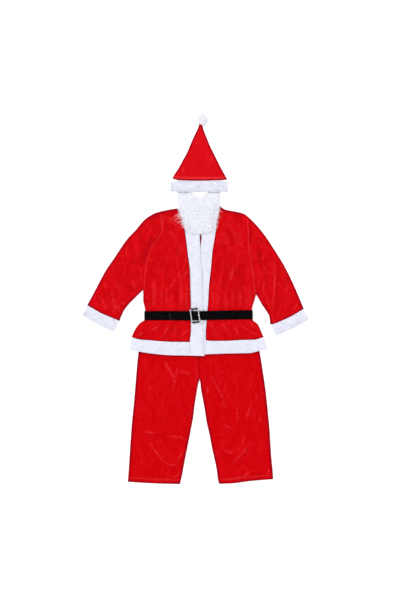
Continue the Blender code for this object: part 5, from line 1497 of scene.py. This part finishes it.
def pompom_core(centre, half):
    """The lumpy ball under the yarn ends."""
    ball = bmesh.new()
    bmesh.ops.create_icosphere(ball, subdivisions=4, radius=1.0)
    for vert in ball.verts:
        way = vert.co.normalized()
        lump = 1 + 0.08 * noise.noise(way * 4.1) + 0.04 * noise.noise(way * 11.0)
        vert.co = [centre[k] + way[k] * half[k] * POMPOM_CORE * lump for k in range(3)]
    placed(mesh_from("pompom_core", ball, yarn_white), "fleece_white", "pompom")


def pompom():
    """A cut-yarn ball: a lumpy core and yarn ends that stand out all round it, but not on the hat's tip."""
    low, high = (np.array(corner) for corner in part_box("pompom"))
    centre, half = (low + high) / 2, (high - low) / 2
    pompom_core(centre, half)
    rng = np.random.default_rng(SEED + 90)
    ways, bend = (unit(rng.normal(size=(POMPOM_FIBRES, 3))) for _ in range(2))
    shifts = [Vector((k, 0, 0)) for k in (3, 5, 9)]
    clump = np.array([[noise.noise(Vector(way) * 7.0 + shift) for shift in shifts] for way in ways])
    reach = (0.99 + 0.09 * rng.random(POMPOM_FIBRES))[:, None]
    leant = unit(ways + YARN_CLUMP * clump + YARN_BEND * bend)
    root = ways * POMPOM_CORE * YARN_ROOT
    middle = unit(ways + leant) * (0.90 * POMPOM_CORE + 0.10) * reach * 1.05
    paths = centre + half * np.stack([root, middle, leant * reach], axis=1)
    paths[..., 2] = np.maximum(paths[..., 2], 0.0010)
    tip_y, tip_x = HAT_RIGHT[-1][0] + HAT_TIP_REACH, (HAT_RIGHT[-1][1] + HAT_LEFT[-1][1]) / 2
    over_tip = (paths[:, 2, 1] < tip_y) & (np.abs(paths[:, 2, 0] - tip_x) < HAT_TIP_HALF)
    paths = paths[~over_tip]
    widths = YARN_WIDTH * (0.8 + 0.4 * rng.random((len(paths), 1))) * np.array([[1.0, 1.0, 0.75]])
    placed(strands("pompom_yarn", paths, widths, yarn_white), "fleece_white")


# Beard

BEARD_CELL, BEARD_WIDTH, BEARD_LENGTH = 0.0034, 0.206, 0.215
BEARD_ROOTS, BEARD_EDGE_ROOTS, HAIR_STEPS = 8700, 800, 9
HAIR_BEYOND_FOOT = 0.0110
HAIR_WIDTH, HAIR_LIFT, HAIR_LENGTHS = 0.0011, 0.0020, (0.022, 0.040)
HAIR_FAN, HAIR_STRAY = 0.14, 0.10
ROOT_SPAN, FIRST_ROOT, EDGE_ROOT_ROWS = (1.0, 0.99), (0.01, 0.005), (0.95, 1.006)
HAIR_FROM, HAIR_TO = (-0.060, -0.022), (1.006, 1.022)
BACKING_INSET, BACKING_PAST_TOP, BACKING_REACH, BACKING_ROUND = 0.0030, 0.0012, 0.020, 0.012
BACKING_DEPTH, BACKING_EDGE, SINK_REACH = 0.0036, 0.12, 0.030
WAVE_LENGTH, WAVE_SWAY, WAVE_RISE = 0.021, 0.0017, 0.0008
HAIR_THINS, BACKING_THINS, BEARD_SINK = 0.050, 0.055, 0.0018
STEPS = np.linspace(0, 1, HAIR_STEPS)
UNDER_BEARD = (
    "jacket_front_right", "jacket_front_left", "placket_right", "placket_left", "sleeve_right",
    "sleeve_left", "collar_band",
)

# Loose wisps over the red, down each side of the beard. The long ones: columns y of the root, and the
# tip's offset in x and y. The short ones: columns y of the root, longest reach.
LONG_WISPS_RIGHT = milli([
    (390, -34, -30), (384, -50, -22), (376, -42, -30), (370, -62, -12), (364, -48, -16), (358, -40, -34),
    (352, -52, -18), (344, -34, -30),
])
LONG_WISPS_LEFT = milli([(412, 24, -26), (404, 34, -24), (394, 30, -34), (382, 36, -22), (368, 26, -36)])
WISP_REACH_RIGHT = milli([(305, 14), (320, 20), (345, 30), (378, 34), (402, 26), (420, 12)])
WISP_REACH_LEFT = milli([(300, 22), (320, 28), (350, 34), (400, 32), (428, 14)])
WISPS_A_SIDE, WISP_STRANDS, LONG_STRANDS = 120, 2, 2
WISP_LIFT, WISP_WIDTH, WISP_WAVE, WISP_SWAY = 0.0054, 0.00046, 0.016, 0.0007
WISP_TURNS, WISP_LEAN_BACK, WISP_BOW = (36, 80), 18, 0.22


def on_surface(points, shares):
    """Points of a grid at row and column shares, carried straight on beyond its border."""
    rows, columns = points.shape[0] - 1, points.shape[1] - 1
    r, c = shares[..., 0] * rows, shares[..., 1] * columns
    row, column = np.clip(r.astype(int), 0, rows - 1), np.clip(c.astype(int), 0, columns - 1)
    return within(points, row, column, (r - row)[..., None], (c - column)[..., None])


def hair_paths(surface_points, rng):
    """Wavy hairs that hang from all over the backing; neighbours wave together."""
    roots = rng.random((BEARD_ROOTS, 2)) * np.array(ROOT_SPAN) + np.array(FIRST_ROOT)
    edge_rows = rng.uniform(*EDGE_ROOT_ROWS, BEARD_EDGE_ROOTS)
    edge_columns = rng.uniform(0, 1, BEARD_EDGE_ROOTS)
    roots = np.concatenate([roots, np.stack([edge_rows, edge_columns], axis=1)])
    count = len(roots)
    length = rng.uniform(*HAIR_LENGTHS, count) * np.clip(0.55 + 0.8 * roots[:, 0], 0.55, 1.0)
    to_foot = BEARD_LENGTH * roots[:, 0]
    length = np.minimum(length, to_foot + rng.triangular(0.0004, 0.0020, HAIR_BEYOND_FOOT, count))
    shares = np.empty((count, HAIR_STEPS, 2))
    fan = (roots[:, 1] - 0.5) * HAIR_FAN + HAIR_STRAY * rng.normal(size=count)
    shares[..., 0] = roots[:, :1] - STEPS * length[:, None] / BEARD_LENGTH
    shares[..., 1] = roots[:, 1:] + STEPS * (length * fan)[:, None] / BEARD_WIDTH
    shares = np.clip(shares, HAIR_FROM, HAIR_TO)
    line = on_surface(surface_points, shares)
    at = on_surface(surface_points, roots)
    phase = 5.0 * ripple(at, 0.020, 93, (1.0, 1.6))[:, None] + 0.5 * rng.normal(size=(count, 1))
    turn = phase + 2 * math.pi * (at[:, 1:2] - STEPS * length[:, None]) / WAVE_LENGTH
    from_root = np.clip(2.5 * STEPS, 0, 1)
    sway = WAVE_SWAY * (0.5 + rng.random((count, 1))) * from_root
    line[..., 0] += sway * np.cos(turn) + 0.0004 * rng.normal(size=(count, 1))
    lift = HAIR_LIFT * rng.random((count, 1)) * np.sin(math.pi * np.clip(0.12 + 0.80 * STEPS, 0, 1))
    thinned = np.clip(shares[..., 0] * BEARD_LENGTH / HAIR_THINS, 0.05, 1)
    line[..., 2] += 0.0004 + thinned * (lift + WAVE_RISE * from_root * (1 + np.sin(turn)))
    return line, shares[..., 0] < 0


def wisp_runs(sign, long_wisps, reaches, rng):
    """Wisps down one side: y of the root, the tip's offset in x and y, and the number of hairs."""
    wisps = [(*wisp, LONG_STRANDS) for wisp in long_wisps]
    low, high = reaches[0][0], reaches[-1][0]
    for _ in range(WISPS_A_SIDE):
        y = rng.uniform(low, high)
        lean = math.radians(rng.uniform(*WISP_TURNS) - WISP_LEAN_BACK * (high - y) / 0.12)
        reach = np.interp(y, *np.transpose(reaches)) * rng.uniform(0.45, 1.0)
        wisps.append((y, sign * reach * math.sin(lean), -reach * math.cos(lean), WISP_STRANDS))
    return wisps


def wisp_paths(beneath, rng):
    """Loose wisps that leave the beard's sides and lie on the jacket, a few hairs to each."""
    paths = []
    right = -1, BEARD_RIGHT, LONG_WISPS_RIGHT, WISP_REACH_RIGHT
    left = 1, BEARD_LEFT, LONG_WISPS_LEFT, WISP_REACH_LEFT
    s = STEPS[:, None]
    for sign, edge, long_wisps, reaches in (right, left):
        edge = np.array(edge)
        for y, x_run, y_run, count in wisp_runs(sign, long_wisps, reaches, rng):
            root = np.array([np.interp(y, edge[:, 1], edge[:, 0]) - sign * 0.005, y])
            run, beside = np.array([x_run, y_run]), np.array([-y_run, x_run])
            bow = beside * rng.uniform(-WISP_BOW, WISP_BOW)
            for _ in range(count):
                start = root + 0.0030 * rng.normal(size=2)
                end = root + run * rng.uniform(0.6, 1.0) + 0.0028 * rng.normal(size=2)
                middle = (start + end) / 2 + bow
                line = (1 - s) ** 2 * start + 2 * (s * (1 - s)) * middle + s**2 * end
                wave = rng.random() * 2 * math.pi + 2 * math.pi * s * np.linalg.norm(end - start) / WISP_WAVE
                line = line + WISP_SWAY * np.cos(wave) * unit(beside)
                paths.append(np.concatenate([line, WISP_LIFT + 0.0005 * (1 + np.sin(wave))], axis=1))
    paths = np.array(paths)
    paths[..., 2] += smoothed(filled_along(beneath.read(paths)), 2) + 0.0030 * (1 - STEPS) ** 2
    return paths


def beard_backing():
    """The backing's grid and its heights on the beard's solid, with their undersides."""
    u, v = fractions(BEARD_WIDTH, BEARD_CELL), fractions(BEARD_LENGTH, BEARD_CELL)
    grid = coons(along(BEARD_FOOT, u), along(BEARD_TOP, u), along(BEARD_RIGHT, v), along(BEARD_LEFT, v))
    grid = shrunk(grid, BACKING_REACH, BACKING_INSET, -BACKING_PAST_TOP, BACKING_INSET, BACKING_INSET)
    solid = Solid("beard")
    down, up, right, left = margins(grid)
    low = solid.heights(grid, down=False) + 0.0003 - BEARD_SINK * np.clip(1 - down / SINK_REACH, 0, 1)
    from_foot = BACKING_ROUND * down / BACKING_THINS
    edge = rounded(np.minimum.reduce([from_foot, up, right, left]), BACKING_ROUND)
    waves = 0.0005 * ripple(grid, 0.011, 91, (1.0, 2.2)) + 0.0008 * ripple(grid, 0.021, 92, (1.0, 1.8))
    height = smoothed(solid.heights(grid), 5) - BACKING_DEPTH + waves
    share = BACKING_EDGE + (1 - BACKING_EDGE) * edge
    return grid, low + np.maximum(height - low, LEAST_HEIGHT) * share, low


def beard():
    """A backing with a thick fleece of soft wavy hair that hangs from the top to the foot."""
    grid, height, low = beard_backing()
    base = panel("beard_cloth", grid, height, height - low, hair)
    rng = np.random.default_rng(SEED + 91)
    hairs, past_foot = hair_paths(raised(grid, height), rng)
    beyond = past_foot.any(axis=1)
    under = np.nan_to_num(Solid(*UNDER_BEARD).read(hairs[beyond]), nan=0.0)
    lying = np.where(past_foot[beyond], np.maximum(under - 0.0010, 0.0008), hairs[beyond][..., 2])
    hairs[beyond, :, 2] = lying
    hairs[..., 2] = np.maximum(hairs[..., 2], 0.0008)
    widths = HAIR_WIDTH * (0.7 + 0.6 * rng.random((len(hairs), 1))) * (1.0 - 0.65 * STEPS**2)
    curls = ribbons("beard_curls", hairs, widths, rng.uniform(-0.9, 0.9, len(hairs)), hair)
    placed(curls, "beard_white")
    loose = wisp_paths(Solid(*UNDER_BEARD, "beard"), rng)
    widths = WISP_WIDTH * (0.8 + 0.4 * rng.random((len(loose), 1))) * (1.0 - 0.70 * STEPS**1.5)
    wisps = ribbons("beard_wisps", loose, widths, rng.uniform(-0.5, 0.5, len(loose)), yarn_white)
    placed(wisps, "beard_white")
    cloth(*base, "beard_white", ["collar_band", "placket_right", "placket_left"], [curls, wisps])


# Belt and buckle

STRAP_STEP, BELT_SHOWN, BELT_SAG = 0.0035, 0.0445, 0.0022
STRAP_GROOVE, GROOVE_WIDTH, GROOVE_DEPTH = 0.0038, 0.0009, 0.00030
HALF_STRAP, STRAP = LEATHERETTE / 2, LEATHERETTE + LAYER_GAP
PAST_BAR, TURN_CORNER = 0.003, 0.0015
CROWN, STRAP_RIPPLE, EDGE_DROP, EDGE_WIDTH, SAG_WIDTH = 0.00012, 0.00022, 0.0003, 0.0012, 0.13
TAIL_MARK, TAIL_MARK_WIDTH = 0.003, 0.0036


def belt_fold(edge, high, low, inward):
    """The strap's half turn at a side of the jacket, from its upper run to its lower one."""
    middle, reach = (high + low) / 2, (high - low) / 2
    turn = np.linspace(0, math.pi, 7)
    return [(edge + inward * BELT_FOLD * (1 - math.sin(t)), middle + reach * math.cos(t)) for t in turn]


def at_buckle(places):
    """Places given from the buckle's centre."""
    return [(BUCKLE_X + x, z) for x, z in places]


def belt_path(bar, over):
    """The strap's centre line as x, z: hook, fixed run, behind the jacket, free run, crossing and tail."""
    solid = Solid("belt_strap")
    base = bar - 2 * STRAP - LAYER_GAP + HALF_STRAP
    hook_low, hook_high = bar - STRAP + HALF_STRAP, over - STRAP
    hook_x = BUCKLE_BAR / 2 + LAYER_GAP + 2 * HALF_STRAP

    def met(x, down=True):
        """The height of the strap's solid at x, from above or from below."""
        return float(solid.read(np.array([[[x, BELT_Y + BELT_SLOPE * x]]]), down)[0, 0])

    inner_x = hook_x - TURN_CORNER
    path = at_buckle([
        (-PAST_BAR, hook_high), (inner_x, hook_high), (hook_x, hook_high - TURN_CORNER),
        (hook_x, hook_low + TURN_CORNER), (inner_x, hook_low), (-PAST_BAR, hook_low),
        (-0.0095, base + 0.0006), (-0.0135, base),
    ])
    tail = np.linspace(BUCKLE_X - 0.0190, TAIL_X, 8)
    tail_tops = [met(x) for x in tail[:-1]] + [met(tail[-1] + 0.0005)]
    path += [(x, top - HALF_STRAP - STRAP) for x, top in zip(tail, tail_tops)]
    fixed = np.linspace(TAIL_X, BELT_RIGHT_X + 2 * BELT_FOLD, 8)[1:]
    path += [(x, met(x) - HALF_STRAP) for x in fixed]
    back = np.linspace(BELT_RIGHT_X + 3 * BELT_FOLD, BELT_LEFT_X - 3 * BELT_FOLD, 22)
    behind = [(x, met(x, down=False) + HALF_STRAP) for x in back]
    path += belt_fold(BELT_RIGHT_X + HALF_STRAP, path[-1][1], behind[0][1], 1) + behind
    free = np.linspace(BELT_LEFT_X - 2 * BELT_FOLD, BUCKLE_X + 0.0160, 15)
    front = [(x, met(x) - HALF_STRAP) for x in free]
    path += belt_fold(BELT_LEFT_X - HALF_STRAP, front[0][1], behind[-1][1], -1)[::-1] + front
    path += at_buckle([
        (0.0135, base + 0.0012), (0.0078, over - 0.0014), (0.0052, over), (-0.0035, over),
        (-0.0065, over - 0.0012), (-0.0130, base + STRAP + 0.0010),
    ])
    return path + [(x, top - HALF_STRAP) for x, top in zip(tail, tail_tops)]


def across_strap():
    """Offsets across the strap, close together at its edges and its embossed lines."""
    half, inner = BELT_SHOWN / 2, BELT_SHOWN / 2 - STRAP_GROOVE
    edge = np.array([half, half - 0.0006, half - 0.0020, inner + GROOVE_WIDTH, inner, inner - GROOVE_WIDTH])
    return np.concatenate([-edge, np.linspace(-inner + 0.0045, inner - 0.0045, 8), edge[::-1]])


def belt(bar, over):
    """One strap right round the jacket, its edges creased by an embossed line."""
    knots = belt_path(bar, over)
    run = run_along(np.array(knots))
    places = []
    for start, end in zip(run, run[1:]):
        places += list(np.linspace(start, end, max(1, round((end - start) / STRAP_STEP)) + 1)[:-1])
    places = np.array(places + [run[-1]])
    path = along(knots, places / run[-1])
    tangent = unit(np.gradient(path, axis=0))
    normal = np.stack([-tangent[:, 1], tangent[:, 0]], axis=1)
    turned = np.exp(-(((path[:, 0] - BUCKLE_X) / 0.05) ** 4))[:, None]
    sag = BELT_SAG * bell(path[:, :1] - BUCKLE_X, SAG_WIDTH)
    across, half = across_strap(), BELT_SHOWN / 2
    groove = GROOVE_DEPTH * bell(np.abs(across) - (half - STRAP_GROOVE), 0.5 * GROOVE_WIDTH)
    crown = CROWN * (1 - (across / half) ** 2)
    flat = np.stack(np.broadcast_arrays(places[:, None], across), axis=2)
    ripples = STRAP_RIPPLE * ripple(flat, 0.020, 95)
    edge_drop = EDGE_DROP * np.clip(1 - (half - np.abs(across)) / EDGE_WIDTH, 0, 1)

    def side(way, relief):
        """Points of one face of the strap, `way` along the normal, with its relief."""
        x, z = (path[:, k:k + 1] + way * (HALF_STRAP + relief) * normal[:, k:k + 1] for k in (0, 1))
        y = BELT_Y + BELT_SLOPE * x - sag + across
        return np.stack([x - math.tan(BUCKLE_TURN) * across * turned, y, z], axis=2)

    shown = side(-1, crown - groove - edge_drop + np.minimum(ripples, 0.0))
    hidden = side(1, np.broadcast_to(-edge_drop - 0.0001, ripples.shape))
    round_it = border(*shown.shape[:2])
    rim = np.array([(shown[place] + hidden[place]) / 2 for place in round_it])
    rows, columns = np.array(round_it).T
    beside = shown[rows.clip(1, rows.max() - 1), columns.clip(1, columns.max() - 1)]
    rim[:, :2] -= 0.0004 * unit((beside - shown[rows, columns])[:, :2])
    strap = shell("belt_strap_cloth", shown, hidden, rim, belt_black)
    # A painted highlight across the strap near its tail's end.
    from_tail = (run[-1] - places)[:, None] + 0.35 * across
    paint_light_on(strap, bell(from_tail - TAIL_MARK, TAIL_MARK_WIDTH) * (1 - (across / half) ** 2))
    placed(strap, "belt_black", "belt_strap")


SECTION_CORNERS, SECTION_SOFTNESS = 14, 0.62


def section(width, height):
    """A bar's rounded section: offsets across and up."""
    turn = 2 * math.pi * (np.arange(SECTION_CORNERS) + 0.5) / SECTION_CORNERS
    return (
        size / 2 * np.sign(way) * np.abs(way) ** SECTION_SOFTNESS
        for size, way in ((width, np.cos(turn)), (height, np.sin(turn)))
    )


def bar_mesh(path, widths, heights, closed=False):
    """Points and faces of a rounded bar along a path of x, y, z, flat to the floor."""
    path = np.array(path, float)
    count = len(path)
    widths, heights = (np.broadcast_to(sizes, count) for sizes in (widths, heights))
    tangent = np.roll(path, -1, axis=0) - np.roll(path, 1, axis=0) if closed else np.gradient(path, axis=0)
    tangent[:, 2] = 0
    tangent = unit(tangent)
    side = np.stack([-tangent[:, 1], tangent[:, 0], np.zeros(count)], axis=1)
    rings = []
    for k in range(count):
        across, up = section(widths[k], heights[k])
        rings.append(path[k] + across[:, None] * side[k] + up[:, None] * np.array([0, 0, 1]))
    index = np.arange(count * SECTION_CORNERS).reshape(count, SECTION_CORNERS)
    rows = np.concatenate([index, index[:1]]) if closed else index
    points, faces = np.concatenate(rings), walls(looped(rows)).tolist()
    if closed:
        return points, faces
    for row, order in ((0, 1), (-1, -1)):
        pairs, centre = zip(np.roll(index[row], -1), index[row]), len(points)
        faces += [(after, one, centre)[::order] for after, one in pairs]
        points = np.concatenate([points, rings[row].mean(axis=0)[None]])
    return points, faces


def joined(name, parts, finish, level):
    """One object of several closed parts, turned and moved to the buckle's place."""
    c, s = math.cos(BUCKLE_TURN), math.sin(BUCKLE_TURN)
    edited = bmesh.new()
    for points, faces in parts:
        x, y, z = points.T
        turned = np.stack([c * x - s * y, s * x + c * y, z], axis=1) + np.array([BUCKLE_X, BUCKLE_Y, level])
        verts = [edited.verts.new(point) for point in turned]
        for face in faces:
            edited.faces.new([verts[corner] for corner in face])
    bmesh.ops.recalc_face_normals(edited, faces=edited.faces)
    return mesh_from(name, edited, finish)


CORNER_RADIUS, CORNER_STEPS, BAR_STEPS, CENTRE_STEPS = 0.0030, 6, 10, 16
PRONG_WIDTH, PRONG_THICKNESS, PRONG_STEPS, PRONG_TIP = 0.0045, 0.0022, 26, 18
FACE_COVER, FACE_LIFT, CENTRE_SHARE = 0.0022, 0.0003, 0.92
SHAPE_PLACES, PRONG_SHAPE = (0, 0.08, 0.5, 0.8, 0.93, 1.0), (0.70, 1.0, 0.95, 0.80, 0.66, 0.30)


def frame_path(half_x, half_y, level):
    """The rounded rectangle down the middle of the frame's bar."""
    path = []
    corners = ((half_x, half_y), (-half_x, half_y), (-half_x, -half_y), (half_x, -half_y))
    for quarter, (x, y) in enumerate(corners):
        for step in range(CORNER_STEPS + 1):
            turn = math.pi / 2 * (quarter + step / CORNER_STEPS)
            cx, cy = x - math.copysign(CORNER_RADIUS, x), y - math.copysign(CORNER_RADIUS, y)
            path.append((cx + CORNER_RADIUS * math.cos(turn), cy + CORNER_RADIUS * math.sin(turn), level))
        x, y = corners[(quarter + 1) % 4]
        turn = math.pi / 2 * (quarter + 1)
        end_x = x - math.copysign(CORNER_RADIUS, x) + CORNER_RADIUS * math.cos(turn)
        end_y = y - math.copysign(CORNER_RADIUS, y) + CORNER_RADIUS * math.sin(turn)
        start = path[-1]
        for share in np.arange(1, BAR_STEPS) / BAR_STEPS:
            path.append((start[0] + share * (end_x - start[0]), start[1] + share * (end_y - start[1]), level))
    return path


def buckle_frame(bar):
    """The frame with its centre bar, and faces painted dark over its upper and lower bars: painted shade for
    their dark reflections.
    """
    half_x, half_y = (BUCKLE_WIDTH - BUCKLE_BAR) / 2, (BUCKLE_HEIGHT - BUCKLE_BAR) / 2
    level = BUCKLE_DEPTH / 2
    line = [(0.0, y, level) for y in np.linspace(-half_y, half_y, CENTRE_STEPS)]
    centre = bar_mesh(line, CENTRE_SHARE * BUCKLE_BAR, CENTRE_SHARE * BUCKLE_DEPTH)
    loop = bar_mesh(frame_path(half_x, half_y, level), BUCKLE_BAR, BUCKLE_DEPTH, closed=True)
    placed(joined("buckle_frame_metal", [loop, centre], nickel, bar), "buckle_silver", "buckle_frame")
    # Painted shade: dark faces over the upper and lower bars for their dark reflections.
    for name, y in (("upper", half_y), ("lower", -half_y)):
        line = [(x, y, level) for x in np.linspace(-half_x + 0.0012, half_x - 0.0012, 14)]
        cover = bar_mesh(line, BUCKLE_BAR + FACE_COVER, BUCKLE_DEPTH + FACE_LIFT)
        placed(joined(f"buckle_{name}_face", [cover], shade_painted_nickel, bar), "buckle_silver")


def buckle_prong(bar, over):
    """The prong, through the strap and over on the frame: painted dark for its dark reflections, its tip in
    plain nickel.
    """
    strap_top = over + HALF_STRAP + LAYER_GAP + PRONG_THICKNESS / 2
    bar_top = bar + BUCKLE_DEPTH + LAYER_GAP + PRONG_THICKNESS / 2
    end = BUCKLE_WIDTH / 2
    knots = [
        (-0.0045, strap_top), (0.0, strap_top), (0.0075, strap_top - 0.0002),
        (end - 0.0060, bar_top + 0.0003), (end - 0.0025, bar_top), (end, bar_top),
    ]
    shares = np.linspace(0, 1, PRONG_STEPS)
    shape = between(shares, SHAPE_PLACES, PRONG_SHAPE)
    path = [(x, 0.0, z) for x, z in along(knots, shares)]
    widths, heights = PRONG_WIDTH * shape, PRONG_THICKNESS * np.minimum(1.0, shape + 0.15)
    prong = joined("buckle_prong_metal", [bar_mesh(path, widths, heights)], shade_painted_nickel, 0)
    placed(prong, "buckle_silver", "buckle_prong")
    tip = bar_mesh(path[PRONG_TIP:], (widths + FACE_LIFT)[PRONG_TIP:], (heights + FACE_LIFT)[PRONG_TIP:])
    placed(joined("buckle_prong_tip", [tip], nickel, 0), "buckle_silver")


def belt_and_buckle():
    """The strap and its buckle: `bar` is the frame's underside, `over` the strap's middle across it."""
    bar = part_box("buckle_frame")[0][2]
    over = bar + BUCKLE_DEPTH + LAYER_GAP + HALF_STRAP + STRAP
    belt(bar, over)
    buckle_frame(bar)
    buckle_prong(bar, over)


# Floor, light and camera

FLOOR_DROP, FLOOR_HALF = 0.0004, 50.0
WHITE = (1.0, 1.0, 1.0, 1.0)
CAMERA_PLACE, LENS, SENSOR = (0.0075, -0.0525, 7.095), 85, 36


def stage():
    """The pale floor, which is not part of the suit."""
    tone, _, _ = material("studio_floor", {
        "Base Color": (0.92, 0.92, 0.92, 1.0), "Roughness": 0.9, "Specular IOR Level": 0.1,
        "Emission Color": WHITE, "Emission Strength": 0.26,
    })
    mesh = bpy.data.meshes.new("floor")
    corners = [(FLOOR_HALF * x, FLOOR_HALF * y, -FLOOR_DROP) for x, y in ((-1, -1), (1, -1), (1, 1), (-1, 1))]
    mesh.from_pydata(corners, [], [(0, 1, 2, 3)])
    mesh.materials.append(tone)
    added("floor", mesh)


def sun(name, azimuth, elevation, strength, angle):
    """A soft sun: azimuth counted from +X towards +Y."""
    data = bpy.data.lights.new(name, "SUN")
    data.energy = strength
    data.angle = math.radians(angle)
    turn, rise = math.radians(azimuth), math.radians(elevation)
    way = Vector((math.cos(turn) * math.cos(rise), math.sin(turn) * math.cos(rise), math.sin(rise)))
    added(name, data).rotation_euler = way.to_track_quat("Z", "Y").to_euler()


def light():
    """A pale sky, a soft key from the upper left and a weak fill from the lower right."""
    world = bpy.data.worlds.new("studio")
    world.use_nodes = True
    back = world.node_tree.nodes["Background"]
    back.inputs["Color"].default_value = WHITE
    back.inputs["Strength"].default_value = 0.80
    bpy.context.scene.world = world
    sun("key", azimuth=128, elevation=40, strength=1.65, angle=18)
    sun("fill", azimuth=-35, elevation=42, strength=0.80, angle=60)
    bpy.context.scene.view_settings.view_transform = "Standard"


def camera():
    """Straight above the suit, at the photo's place."""
    data = bpy.data.cameras.new("camera")
    data.lens, data.sensor_width = LENS, SENSOR
    made = added("camera", data)
    made.location = CAMERA_PLACE
    bpy.context.scene.camera = made


camera()
light()
stage()
trousers()
jacket()
sleeves()
hat()
beard()
pompom()
belt_and_buckle()
